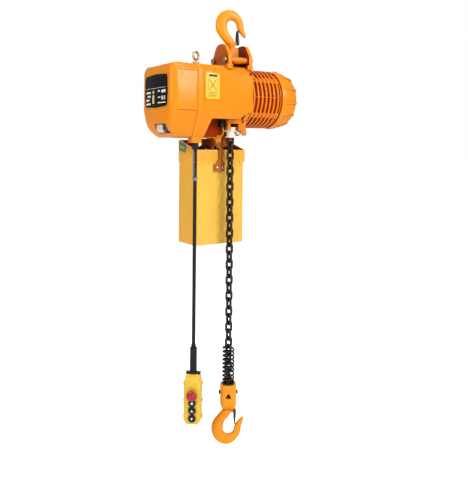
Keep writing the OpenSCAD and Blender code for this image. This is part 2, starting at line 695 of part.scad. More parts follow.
// Catmull-Rom curve through the stations
function catmull(a, b, c, d, t) = 0.5 * (2 * b + (c - a) * t
  + (2 * a - 5 * b + 4 * c - d) * t * t + (3 * b - a - 3 * c + d) * t * t * t);
function hook_at(s) =
  let (h = hook_stations, n = len(h), i = min(floor(s), n - 2))
  catmull(h[max(i - 1, 0)], h[i], h[i + 1], h[min(i + 2, n - 1)], s - i);
function squared(v) = sign(v) * pow(abs(v), 0.88);
// section ring of the hook at station s
function hook_ring(s, sides) =
  let (last = len(hook_stations) - 1, here = hook_at(s),
       step = hook_at(min(s + 0.4, last)) - hook_at(max(s - 0.4, 0)),
       along = unit([step[0] * min(1, s / 2), step[1]]), across = [-along[1], along[0]])
  [for (j = [0:sides - 1])
    let (f = 360 * j / sides, out = here[2] * squared(cos(f)),
         swell = 1 + 0.1 * cos(f) * min(1, s * 54 / last / 8))
    [here[0] + across[0] * out, squared(sin(f)) * swell * here[3],
     here[1] + across[1] * out]];
latch_pin = [25, 63]; // in the hook's own [x, z]
module hook_form(neck_z, end_z) {
  steps = 54;
  difference() {
    union() {
      skin([for (i = [0:steps]) hook_ring(i * (len(hook_stations) - 1) / steps, 20)]);
      zcyl(64, neck_z, 13.8);
      zcyl(neck_z - 1, end_z, 10);
      ycyl(-5.5, 5.5, 6.6, latch_pin);
      box(10, 25, -5.5, 5.5, 57.4, 68.8);
    }
    ycyl(-9, 9, 2.6, latch_pin);
  }
}
// latch: a bent plate on a pin, straddling the lug
module latch_form() union() {
  for (y = [-7.6, 5.8]) yprism(y, y + 1.8, soft(
    [[19.4, 62], [20.6, 54], [21.6, 30], [23.8, 13], [28, 14], [28.4, 30], [31.4, 60],
     [30, 70], [22, 70]],
    [3, 0, 0, 1, 1, 0, 0, 4, 4], 3));
  yprism(-7.6, 7.6, [[29, 52], [28.4, 30], [28, 14], [23.8, 13], [23.4, 18], [24, 30],
    [25.4, 52]]);
  ycyl(-8.8, 8.8, 2.4, latch_pin, small);
}
// round nut and its washer
module hook_nut(nut_z0, nut_z1, washer_z) {
  zring(nut_z0, nut_z1, 10.02, 16);
  zring(washer_z, washer_z + 1.6, 10.1, 16.6);
}
module at_top() drop()
  translate([0, 0, top_hook_z]) rotate([0, 0, top_turn]) rotate([180, 0, 0]) children();
module at_low() drop() translate([0, 0, low_hook_z]) rotate([0, 0, low_turn]) children();
module top_hook() color(orange) at_top() hook_form(81, 121);
module top_latch() color(black) at_top() latch_form();
module top_hook_nut() color(steel) drop() hook_nut(152, 168, 168.2);
module bottom_hook() color(orange) at_low() hook_form(72, 110);
module bottom_latch() color(black) at_low() latch_form();
module bottom_hook_nut() color(steel) at_low() hook_nut(86.4, 104, 84.6);

// ---------------------------------------------------------------- lower block and its chain
last_link = 37;
first_end = 32; // first link that stays with the block
// bolt through the last link, in the block's own [y, z]
block_bolt_at = [0, link_z(last_link) - low_hook_z - chain_pitch / 2 + 5.1];
module hook_block() color(orange) at_low() difference() {
  intersection() {
    yprism(-30, 30, soft([[-17, 72.4], [17, 72.4], [31, 90], [31, 168], [-31, 168],
      [-31, 90]], [10, 10, 16, 5, 5, 16]));
    zprism(70, 170, soft_rect(-31, 31, -27, 27, 18, 6));
    xprism(-40, 40, soft([[-16, 72.4], [16, 72.4], [27, 88], [27, 168], [-27, 168],
      [-27, 88]], [8, 8, 14, 4, 4, 14], 3));
  }
  zcyl(60, 130, 10.3);
  zcyl(84.4, 112, 17);
  zcyl(117, 180, 18);
  // window in the front and back
  yprism(-40, 40, soft([[-13, 117], [13, 117], [0, 140]], 3, 3));
  xcyl(-40, 40, 5.2, block_bolt_at, mid);
  // joint between the two halves
  box(-0.06, 0.06, -40, 40, 60, 180);
}
module block_bolt() color(black) at_low() {
  union() {
    xcyl(-34, 34, 5, block_bolt_at, mid);
    xcyl(-37, -31.1, 8.5, block_bolt_at, 6);
  }
  difference() {
    xcyl(31.1, 37.1, 8.5, block_bolt_at, 6);
    xcyl(20, 40, 5.1, block_bolt_at, mid);
  }
}
// links that stay with the block; they turn by degrees to meet the bolt
module end_chain() color(black) drop() for (i = [first_end:last_link]) {
  share = (i - first_end + 1) / (last_link - first_end + 1);
  translate([0, 0, link_z(i)]) rotate([0, 0, link_turn(i) + (low_turn + 90) * share]) link();
}
module load_chain() color(black) drop() run(0, first_end - 1);
module buffer_spring() color(black) at_low() {
  coil_r = 20.6;
  wire_r = 3.6;
  turns = 8.6;
  pitch = 15.4;
  sides = 9;
  start_z = 176.4;
  steps = 18; // rings in one turn
  skin([for (i = [0:turns * steps]) let (a = 360 * i / steps) [for (j = [0:sides - 1])
    let (f = 360 * j / sides, r = coil_r + wire_r * cos(f))
    [r * cos(a), r * sin(a), start_z + pitch * i / steps + wire_r * sin(f)]]]);
  zring(168.1, 172.4, 18.4, 24);
}
module slack_chain() color(black) drop() {
  // over the wheel: flat, upright, flat, upright, flat
  half_step = 90 / pockets;
  wrap_r = shaft_y * cos(half_step);
  for (k = [0:pockets - 1]) {
    a = 180 - half_step * (2 * k + 1);
    translate([0, shaft_y + wrap_r * cos(a), wrap_r * sin(a)]) rotate([a + 180, 0, 0])
      rotate([0, 0, 90 * (k % 2)]) link(chain_d - 1.5, chain_pitch + 1.3, chain_w - 1);
  }
  // down into the bucket
  translate([0, 2 * shaft_y, 0]) run(0, 12);
  // laid in the bottom of the bucket
  for (i = [0:2], j = [0:1])
    translate([-90 + i * 62, 78 + j * 46, bucket_z0 + 9.2])
      rotate([0, 90, 14 * (i - 1)]) rotate([0, 0, 90]) link();
}

// ---------------------------------------------------------------- guide, limit lever, bucket
module chain_guide() color(dark_orange) drop() difference() {
  union() {
    zprism(-128, -104.1, soft_rect(-30, 38, -28, 30, 5));
    // tail behind the chain, tapering down
    yprism(20.5, 32, soft([[-24, -118], [-18, -176], [-12, -184], [12, -184], [18, -176],
      [38, -122], [38, -110], [-24, -110]], [0, 6, 4, 4, 6, 4, 0, 0], 3));
    for (y = [-28, 19]) {
      // cheek of the lever pivot
      yprism(y, y + 7, soft([[24, -120], [40, -148], [52, -152], [58, -142], [52, -118],
        [38, -106]], [0, 3, 6, 6, 3, 0], 3));
      // arm up to the motor flange
      yprism(y, y + 7, soft([[34, -128], [50, -120], [56.8, -98], [56.8, -66], [46, -66],
        [46, -92], [34, -106]], [0, 8, 8, 0, 0, 8, 0]));
    }
  }
  zcyl(-200, -100, 18.4);
  zcyl(-137, -103, 24.4);
  zcyl(-162, -136, 22.4);
  // open front, where the lever's collar shows
  box(-17, 20, -40, -8, -137, -103);
  box(0, 60, -20.9, 18.9, -160, -112);
  ycyl(-40, 40, 3.05, lever_pivot);
  for (p = guide_holes) {
    zcyl(-130, -100, 2.7, p, small);
    zcyl(-190, -128.04, 5.2, p, small);
  }
  // slot of the lever's tab
  box(-31, -18, -8, 8, -129, -112);
  // clearance of the flange rim
  xcyl(37, 57.1, fin_r + 2.2);
}
module bracket_screws() color(steel) drop() {
  // guide screws and lever pivot
  for (p = guide_holes) union() {
    zcyl(-131.4, -128.1, 4.6, p, small);
    zcyl(-128.2, -92, 2.55, p, small);
  }
  ycyl(-31, 29, 3, lever_pivot, small);
  // front and rear bolts of the bucket
  for (p = front_strap_holes) union() {
    ycyl(23.4, bucket_y0 + 9, 3, p, small);
    ycyl(23.55, 26.95, 5.4, p, 6);
  }
  for (p = rear_strap_holes) union() {
    ycyl(bucket_y1 - 8, bucket_y1 + 10, 3, p, small);
    ycyl(bucket_y1 + 7.2, bucket_y1 + 11.2, 5.4, p, 6);
  }
  // front strap to the case
  for (p = bucket_pad_holes) union() {
    zcyl(-180.3, -162, 3, p, small);
    zcyl(-183.6, -180.05, 5, p, small);
  }
}
module limit_lever() color("#efe6cf") drop() difference() {
  union() {
    zcyl(-158, -117.5, 20.4);
    zcyl(-134, -130, 23);
    box(0, 52, -15, 13, -144, -132);
    ycyl(-20.6, 18.6, 7, lever_pivot, mid);
    box(-36, -18, -6, 6, -134, -130);
  }
  zcyl(-170, -100, 18.4);
  ycyl(-40, 40, 3.1, lever_pivot, small);
  // openings that show the chain
  rotate([0, 0, -33.6]) for (s = [-1, 1])
    box(s > 0 ? 14.6 : -24, s > 0 ? 24 : -14.6, -14, 14, -153, -135.5);
}
module limit_switch() color("#26282a") drop() union() {
  box(-52, -31, -14, 10.9, -118, -88.05);
  zcyl(-122.4, -117.9, 3, [-33.6, 0], small);
  box(-52, -30.6, -6, 6, -118, -112);
}
bucket_x0 = -132.7;
bucket_x1 = bucket_x0 + bucket_w;
bucket_y0 = 36.5;
bucket_y1 = bucket_y0 + bucket_d;
bucket_z1 = -205; // rim at the front
bucket_z0 = bucket_z1 - bucket_h;
rim_outline = soft_rect(bucket_x0 - 2, bucket_x1 + 7, bucket_y0 - 2.5, bucket_y1 + 2.5, 6);
module chain_bucket() color("#ffce56") drop() difference() {
  union() {
    zprism(bucket_z0, bucket_z1 - 44,
      soft_rect(bucket_x0, bucket_x1, bucket_y0, bucket_y1, 5));
    zprism(bucket_z1 - 48, bucket_z1, rim_outline);
    // rim rising to the back
    intersection() {
      zprism(bucket_z1 - 2, bucket_z1 + 38, rim_outline);
      xprism(bucket_x0 - 10, bucket_x1 + 20, [[bucket_y0 + 8, bucket_z1 - 4],
        [bucket_y1 + 10, bucket_z1 - 4], [bucket_y1 + 10, bucket_z1 + 40],
        [bucket_y1 - 4, bucket_z1 + 37], [bucket_y0 + 8, bucket_z1 + 2]]);
    }
    // scallops under the band
    for (i = [0:8]) ycyl(bucket_y0 - 2.5, bucket_y0 + 1, 9.4,
      [bucket_x0 + 14 + i * (bucket_w - 24) / 8, bucket_z1 - 47], small);
  }
  zprism(bucket_z0 + 4, bucket_z1 + 1,
    soft_rect(bucket_x0 + 4, bucket_x1 - 4, bucket_y0 + 4, bucket_y1 - 4, 4));
  zprism(bucket_z1 - 40, bucket_z1 + 40,
    soft_rect(bucket_x0 + 2, bucket_x1 + 3, bucket_y0 + 1.5, bucket_y1 - 1.5, 4));
  // gap for the rear strap
  box(-55, -5, bucket_y1 - 5, bucket_y1 + 6, bucket_z1 + 0.5, bucket_z1 + 44);
  for (p = front_strap_holes) ycyl(bucket_y0 - 10, bucket_y0 + 10, 3.2, p, small);
  for (p = rear_strap_holes) ycyl(bucket_y1 - 10, bucket_y1 + 10, 3.2, p, small);
}
module bucket_bracket() color("#b4600f") drop() {
  // front strap: foot on the pads of the case, leg down to the bucket
  difference() {
    union() {
      box(-57, -35, 12.6, 31, -180, -176.1);
      yprism(27, 31.5, soft([[-57, -184], [-57, -176.1], [-35, -176.1], [-20, -186],
        [-16, -244], [-8, -266], [-8, -288], [-52, -288], [-52, -266], [-33, -244],
        [-33, -200]], [0, 0, 4, 4, 4, 4, 3, 3, 4, 4, 4], 2));
      for (p = front_strap_holes) ycyl(27.5, bucket_y0 - 0.05, 7, p, small);
    }
    for (p = front_strap_holes) ycyl(20, bucket_y0 + 10, 3.2, p, small);
    for (p = bucket_pad_holes) zcyl(-190, -170, 3.2, p, small);
  }
  // rear strap, bent back over the rim
  difference() {
    xprism(-52, -8, [[128.4, -190], [128.4, -162], [132, -162], [132, -188],
      [177.6, -200], [177.6, -252], [173.4, -252], [173.4, -203], [128.4, -192]]);
    for (p = rear_strap_holes) ycyl(bucket_y1 - 4, bucket_y1 + 20, 3.2, p, small);
  }
  // lug of the rear strap on the outlet
  difference() {
    box(-52, -34.1, 96, 128.5, -182, -176);
    box(-52, -40, 90, 110, -190, -170);
  }
}

// ---------------------------------------------------------------- pendant and its cable
swing_z = -208; // ball at the top of the cable
module at_cable(z) translate([cable_at[0], cable_at[1], z]) children();
module cable_gland() color("#2a2c2e") drop() difference() {
  union() {
    zcyl(-191.4, -179.7, 15, cable_at, 6);
    zcyl(-204, -189, 11.5, cable_at);
    zcyl(-179.8, -150, 10, cable_at);
    zcyl(-150.1, -140, 5.4, cable_at, small);
  }
  at_cable(swing_z) sphere(r = 10, $fn = 32);
}
module at_pendant() drop() at_cable(pend_z) rotate([0, 0, pend_turn]) children();
module pendant_cable() color(black) drop() union() {
  at_cable(swing_z) sphere(r = 6.8, $fn = 32);
  zcyl(pend_z - 6, swing_z, 6.8, cable_at, mid);
  // sleeve at the pendant, with its clamp bar
  zcyl(pend_z + 0.2, pend_z + 96, 13, cable_at);
  zcyl(pend_z + 95.9, pend_z + 106, 9, cable_at);
  at_cable(pend_z) rotate([0, 0, pend_turn]) box(-27, 27, -10, 10, 0.2, 6);
}
// safety chain beside the top of the cable, and its clamp
module strain_chain() color("#8d8f92") drop()
  translate([cable_at[0] - 10.6, cable_at[1] - 6, 0]) {
    for (i = [0:7]) translate([0, 0, swing_z - 8 - i * 13])
      rotate([0, 0, 90 * (i % 2) + 20]) link(wire = 2.4, pitch = 13, width = 9, sides = 16);
    translate([10.6, 6, 0]) zring(swing_z - 112, swing_z - 100, 6.9, 9.4);
    translate([1, 0.6, swing_z - 112]) rotate([0, 0, 32]) box(-2, 4, -2, 2, 0, 6);
  }
// pendant outline in its own [x, z], drawn in by t
function pendant_outline(t) = soft(inset([[-21, -181], [21, -181], [32, -164], [32, -36],
  [24.5, 0], [-24.5, 0], [-32, -36], [-32, -164]], t), 5, 2);
button_z = [-69, -100, -128, -157]; // emergency stop, start, up, down
clip_places = [for (s = [-1, 1], z = [-36, -98, -158]) [s * 31, z]];
// solid of one shell: body, raised face and clips, each over its [y0, y1]
module shell_solid(body, face, clips) union() {
  yprism(body[0], body[1], pendant_outline(0));
  yprism(face[0], face[1], pendant_outline(3));
  intersection() {
    for (p = clip_places) ycyl(-7, 7, 6, p, small);
    box(-60, 60, clips[0], clips[1], -300, 10);
  }
}
module pendant_case() color("#f2c93a") at_pendant() {
  // front shell
  difference() {
    shell_solid(body = [-24, -0.1], face = [-27, -23.9], clips = [-30, -0.1]);
    yprism(-23, 1, pendant_outline(3.2));
    ycyl(-40, 0, 10.2, [0, button_z[0]]);
    for (i = [1:3]) ycyl(-40, 0, 13.5, [0, button_z[i]]);
    zcyl(-10, 5, 7.2);
  }
  // back shell
  difference() {
    shell_solid(body = [0, 20], face = [19.9, 24], clips = [0, 30]);
    yprism(-1, 20, pendant_outline(3.2));
    zcyl(-10, 5, 7.2);
  }
  // six clip screws and the small screw on the face
  for (p = clip_places) ycyl(-8.6, -7.1, 3.6, p, small);
  ycyl(-28.6, -27.05, 2.6, [12, -30], small);
}
module estop_stem() color("#2b2b2b") at_pendant() union() {
  ycyl(-40, -14, 10, [0, button_z[0]]);
  ycyl(-45, -39.9, 6, [0, button_z[0]]);
}
module estop_cap() color("#c2202a") at_pendant() difference() {
  translate([0, -40.1, button_z[0]]) rotate([90, 0, 0]) rotate_extrude() polygon(concat(
    [[0, 0], [17.6, 0]],
    [for (a = [-60:20:60]) [15.8 + 3.8 * cos(a), 4.2 + 3.6 * sin(a)]],
    [[14, 9.4], [8, 11], [0, 11.6]]));
  ycyl(-45.1, -38, 6.05, [0, button_z[0]]);
}
module button(i) color("#1d1d1f") at_pendant() union() {
  ycyl(-33, -14, 13.4, [0, button_z[i]]);
  ycyl(-34, -32.9, 11.4, [0, button_z[i]]);
}
module start_button() button(1);
module up_button() button(2);
module down_button() button(3);

main_housing();
gearbox_cover();
bearing_plate();
control_cover();
cover_screws();
capacity_plate();
side_plate();
contactors();
transformer();
mains_socket();
plug_block();
lifting_eye();
motor_frame();
stator_core();
stator_windings();
flange_bolts();
bearings();
brake_cover();
brake_screws();
brake_magnet();
brake_springs();
suspension_yoke();
suspension_pins();
chain_guide();
bracket_screws();
limit_switch();
slack_chain();
load_chain();
chain_bucket();
bucket_bracket();
cable_gland();
rotor_core();
motor_shaft();
brake_disc();
brake_armature();
first_gear();
first_shaft();
second_gear();
second_shaft();
load_gear();
load_sheave();
limit_lever();
top_hook();
top_hook_nut();
top_latch();
hook_block();
block_bolt();
end_chain();
buffer_spring();
bottom_hook();
bottom_hook_nut();
bottom_latch();
pendant_cable();
strain_chain();
pendant_case();
estop_stem();
estop_cap();
start_button();
up_button();
down_button();
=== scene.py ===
# Electric chain hoist with a lower hook block, a chain bucket and a push-button pendant.
# Metres, +Z up. The centre of the upper hook's bend is the origin; the body and the lower hook hang
# below it. Front is -Y, left is -X. The CAD pieces get materials and rounded edges here; the hooks,
# the buffer spring and the load chain are built anew, and small parts and printed marks are added.
import bpy
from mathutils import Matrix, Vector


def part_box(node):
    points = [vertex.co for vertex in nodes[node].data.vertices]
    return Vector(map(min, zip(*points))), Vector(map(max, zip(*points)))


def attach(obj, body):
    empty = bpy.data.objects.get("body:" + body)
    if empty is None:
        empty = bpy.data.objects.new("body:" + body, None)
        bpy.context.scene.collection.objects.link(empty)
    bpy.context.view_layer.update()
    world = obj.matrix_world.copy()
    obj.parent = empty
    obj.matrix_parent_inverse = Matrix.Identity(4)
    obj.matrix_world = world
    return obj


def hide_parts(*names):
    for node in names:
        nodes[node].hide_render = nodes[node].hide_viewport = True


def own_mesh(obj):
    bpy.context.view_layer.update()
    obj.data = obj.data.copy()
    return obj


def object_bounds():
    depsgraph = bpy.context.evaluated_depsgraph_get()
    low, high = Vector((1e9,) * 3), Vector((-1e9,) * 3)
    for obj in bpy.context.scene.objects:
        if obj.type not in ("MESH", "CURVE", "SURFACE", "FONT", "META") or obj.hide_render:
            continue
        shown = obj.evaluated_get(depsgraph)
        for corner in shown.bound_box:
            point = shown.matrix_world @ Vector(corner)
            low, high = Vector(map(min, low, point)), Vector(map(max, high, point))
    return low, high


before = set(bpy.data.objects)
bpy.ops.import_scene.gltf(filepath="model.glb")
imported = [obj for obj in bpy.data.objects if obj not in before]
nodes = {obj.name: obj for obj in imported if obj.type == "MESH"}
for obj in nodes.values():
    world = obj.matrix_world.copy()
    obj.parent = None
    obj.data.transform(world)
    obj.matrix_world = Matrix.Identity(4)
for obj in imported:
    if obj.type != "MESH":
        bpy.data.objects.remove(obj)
import bpy, bmesh, math
from mathutils import Vector, Matrix

DATUM_Z = -0.271                    # level from which the body's heights are measured
LOWER_HOOK_Z = DATUM_Z - 1.278      # centre of the lower hook's bend

cad_low, cad_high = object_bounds()
scene = bpy.context.scene
scene.view_settings.view_transform = "Standard"
scene.view_settings.look = "None"


# ------------------------------------------------------------------ node helpers
def set_inputs(tree, node, inputs):
    """Link each input to a socket, or give it a plain value."""
    for key, value in inputs.items():
        if isinstance(value, bpy.types.NodeSocket):
            tree.links.new(value, node.inputs[key])
        else:
            node.inputs[key].default_value = value


def add_node(tree, kind, inputs, **settings):
    node = tree.nodes.new(kind)
    for key, value in settings.items():
        setattr(node, key, value)
    set_inputs(tree, node, inputs)
    return node


class Coat:
    """One material, with short ways to build its node tree."""

    def __init__(self, name):
        self.name = name
        self.material = bpy.data.materials.new(name)
        self.material.use_nodes = True
        self.tree = self.material.node_tree
        self.tree.nodes.clear()
        self.shader = self.node("ShaderNodeBsdfPrincipled")
        self.node("ShaderNodeOutputMaterial", {"Surface": self.shader.outputs[0]})
        self.place = self.node("ShaderNodeTexCoord").outputs["Object"]

    def node(self, kind, inputs={}, **settings):
        return add_node(self.tree, kind, inputs, **settings)

    def set(self, inputs):
        set_inputs(self.tree, self.shader, inputs)

    def noise(self, scale, detail=3.0, rough=0.55, stretch=None):
        place = self.place
        if stretch:
            place = self.node("ShaderNodeMapping", {"Vector": place, "Scale": stretch}).outputs[0]
        return self.node("ShaderNodeTexNoise", {
            "Scale": scale, "Detail": detail, "Roughness": rough, "Vector": place}).outputs["Fac"]

    def ramp(self, value, span, out=(0.0, 1.0)):
        """Map span to out, clamped at both ends."""
        return self.node("ShaderNodeMapRange", {
            "Value": value, "From Min": span[0], "From Max": span[1],
            "To Min": out[0], "To Max": out[1]}, clamp=True).outputs["Result"]

    def math(self, operation, a, b):
        return self.node("ShaderNodeMath", {0: a, 1: b}, operation=operation).outputs[0]

    def mix(self, factor, base, over, blend="MIX"):
        base, over = (color if isinstance(color, bpy.types.NodeSocket) else (*color, 1.0)
                      for color in (base, over))
        return self.node("ShaderNodeMix", {0: factor, 6: base, 7: over},
                         data_type="RGBA", blend_type=blend).outputs[2]

    def bump(self, height, strength, distance, under=None):
        inputs = {"Strength": strength, "Distance": distance, "Height": height}
        if under is not None:
            inputs["Normal"] = under
        return self.node("ShaderNodeBump", inputs).outputs[0]

    def edge(self, radius):
        """1 on edges within the radius, 0 on open faces; and the rounded normal."""
        rounded = self.node("ShaderNodeBevel", {"Radius": radius}, samples=4).outputs[0]
        normal = self.node("ShaderNodeNewGeometry").outputs["Normal"]
        dot = self.node("ShaderNodeVectorMath", {0: rounded, 1: normal}, operation="DOT_PRODUCT")
        return self.ramp(dot.outputs["Value"], span=(0.995, 0.86)), rounded

    def openness(self, distance, samples=4):
        """1 on open faces, towards 0 in corners."""
        return self.node("ShaderNodeAmbientOcclusion", {"Distance": distance},
                         samples=samples).outputs["AO"]


def shade(color, factor):
    return tuple(max(0.0, min(1.0, x * factor)) for x in color)


# ------------------------------------------------------------------ kinds of material
def paint(name, color, rough=0.33, wear=0.35, corner_shade=0.5, corner_shade_color=(0.30, 0.045, 0.002),
          peel=0.05, clear=0.10, specular=0.22):
    """Sprayed enamel: orange peel, slow colour drift, worn edges, and painted shade that darkens the
    corners.
    """
    coat = Coat(name)
    edge, normal = coat.edge(radius=0.0009)
    drift = coat.ramp(coat.noise(scale=5.0), span=(0.3, 0.7))
    base = coat.mix(drift, shade(color, 0.93), shade(color, 1.05))
    mottle = coat.noise(scale=70.0, detail=5, rough=0.65)
    base = coat.mix(coat.ramp(mottle, span=(0.45, 0.75), out=(0.0, 0.22)), base, shade(color, 0.8))
    # painted shade: ambient occlusion darkens the corners towards a darker shade colour
    corners = coat.openness(distance=0.085, samples=6)
    base = coat.mix(coat.ramp(corners, span=(0.2, 0.98), out=(corner_shade, 0.0)), base, corner_shade_color)
    flakes = coat.ramp(coat.noise(scale=150.0, detail=6, rough=0.7), span=(0.52, 0.62))
    chips = coat.math("MULTIPLY", coat.math("MULTIPLY", edge, flakes), wear)
    base = coat.mix(chips, base, shade(color, 0.45))
    scratches = coat.noise(scale=60.0, detail=4, rough=0.8, stretch=(1.0, 1.0, 14.0))
    scratches = coat.ramp(scratches, span=(0.66, 0.70), out=(0.0, 0.12))
    base = coat.mix(scratches, base, shade(color, 1.25))
    sheen = coat.ramp(coat.noise(scale=35.0, detail=4, rough=0.6),
                      span=(0.3, 0.7), out=(rough - 0.06, rough + 0.10))
    fine = coat.noise(scale=620.0, detail=2, rough=0.5)
    relief = coat.bump(fine, strength=peel, distance=0.0006, under=normal)
    waves = coat.noise(scale=90.0, detail=3, rough=0.6)
    relief = coat.bump(waves, strength=peel * 0.9, distance=0.0012, under=relief)
    coat.set({
        "Base Color": base,
        "Roughness": coat.math("ADD", sheen, coat.math("MULTIPLY", chips, 0.3)),
        "Normal": relief, "Coat Weight": clear, "Coat Roughness": 0.22,
        "Specular IOR Level": specular})
    return coat


def metal(name, color, rough, grain=(1, 1, 1), oil=0.0, dark=(0.03, 0.02, 0.015), scale=160.0,
          bump=0.12, metallic=1.0, wear=0.5):
    """Bare metal: grain stretched along its axes, dark stains, bright edges."""
    coat = Coat(name)
    edge, normal = coat.edge(radius=0.0005)
    streaks = coat.noise(scale=scale, detail=5, rough=0.65, stretch=grain)
    base = coat.mix(coat.ramp(streaks, span=(0.3, 0.75)), shade(color, 0.78), shade(color, 1.12))
    stains = coat.noise(scale=26.0, detail=5, rough=0.7)
    stains = coat.ramp(stains, span=(0.5, 0.72), out=(0.0, 0.45 + oil * 0.4))
    base = coat.mix(stains, base, dark)
    # painted shade: ambient occlusion darkens the corners towards the dark colour
    corners = coat.ramp(coat.openness(distance=0.02), span=(0.3, 0.9), out=(0.55, 0.0))
    base = coat.mix(corners, base, dark)
    bright = tuple(min(1, x * 1.5 + 0.08) for x in color)
    coat.set({
        "Base Color": coat.mix(coat.math("MULTIPLY", edge, wear), base, bright),
        "Metallic": metallic,
        "Roughness": coat.ramp(streaks, span=(0.3, 0.7), out=(rough - 0.08, rough + 0.14)),
        "Normal": coat.bump(streaks, strength=bump, distance=0.0004, under=normal)})
    return coat


def plastic(name, color, rough=0.42, grain=420.0, bump=0.08, specular=0.5, edge_radius=0.0007,
            dust=0.10, clear=0.0):
    """Moulded plastic or rubber: fine grain, pale dust, painted shade in the corners."""
    coat = Coat(name)
    edge, normal = coat.edge(radius=edge_radius)
    drift = coat.ramp(coat.noise(scale=9.0), span=(0.3, 0.7))
    base = coat.mix(drift, shade(color, 0.93), shade(color, 1.06))
    specks = coat.noise(scale=48.0, detail=6, rough=0.75)
    specks = coat.ramp(specks, span=(0.55, 0.8), out=(0.0, dust))
    base = coat.mix(specks, base, (0.42, 0.38, 0.32))
    # painted shade: ambient occlusion darkens the corners
    corners = coat.ramp(coat.openness(distance=0.012), span=(0.3, 0.9), out=(0.45, 0.0))
    base = coat.mix(corners, base, shade(color, 0.35))
    texture = coat.noise(scale=grain, detail=2, rough=0.5)
    coat.set({
        "Base Color": coat.mix(coat.math("MULTIPLY", edge, 0.16), base, shade(color, 1.5)),
        "Roughness": coat.ramp(coat.noise(scale=60.0, detail=4),
                               span=(0.3, 0.7), out=(rough - 0.07, rough + 0.1)),
        "Coat Weight": clear, "Specular IOR Level": specular,
        "Normal": coat.bump(texture, strength=bump, distance=0.0004, under=normal)})
    return coat


def striped(name, dark, light, scale, distortion, metallic, rough, strength, distance, **pattern):
    """Fine stripes in colour and relief: wires side by side, or stacked sheets."""
    coat = Coat(name)
    wave = coat.node("ShaderNodeTexWave", {
        "Scale": scale, "Distortion": distortion, "Detail": 2.0, "Vector": coat.place}, **pattern)
    stripes = wave.outputs["Fac"]
    coat.set({
        "Base Color": coat.mix(stripes, dark, light), "Metallic": metallic, "Roughness": rough,
        "Normal": coat.bump(stripes, strength=strength, distance=distance)})
    return coat


def ink(name, color):
    return plastic(name, color, rough=0.4, grain=500.0, bump=0.02, dust=0.06, edge_radius=0.0002)


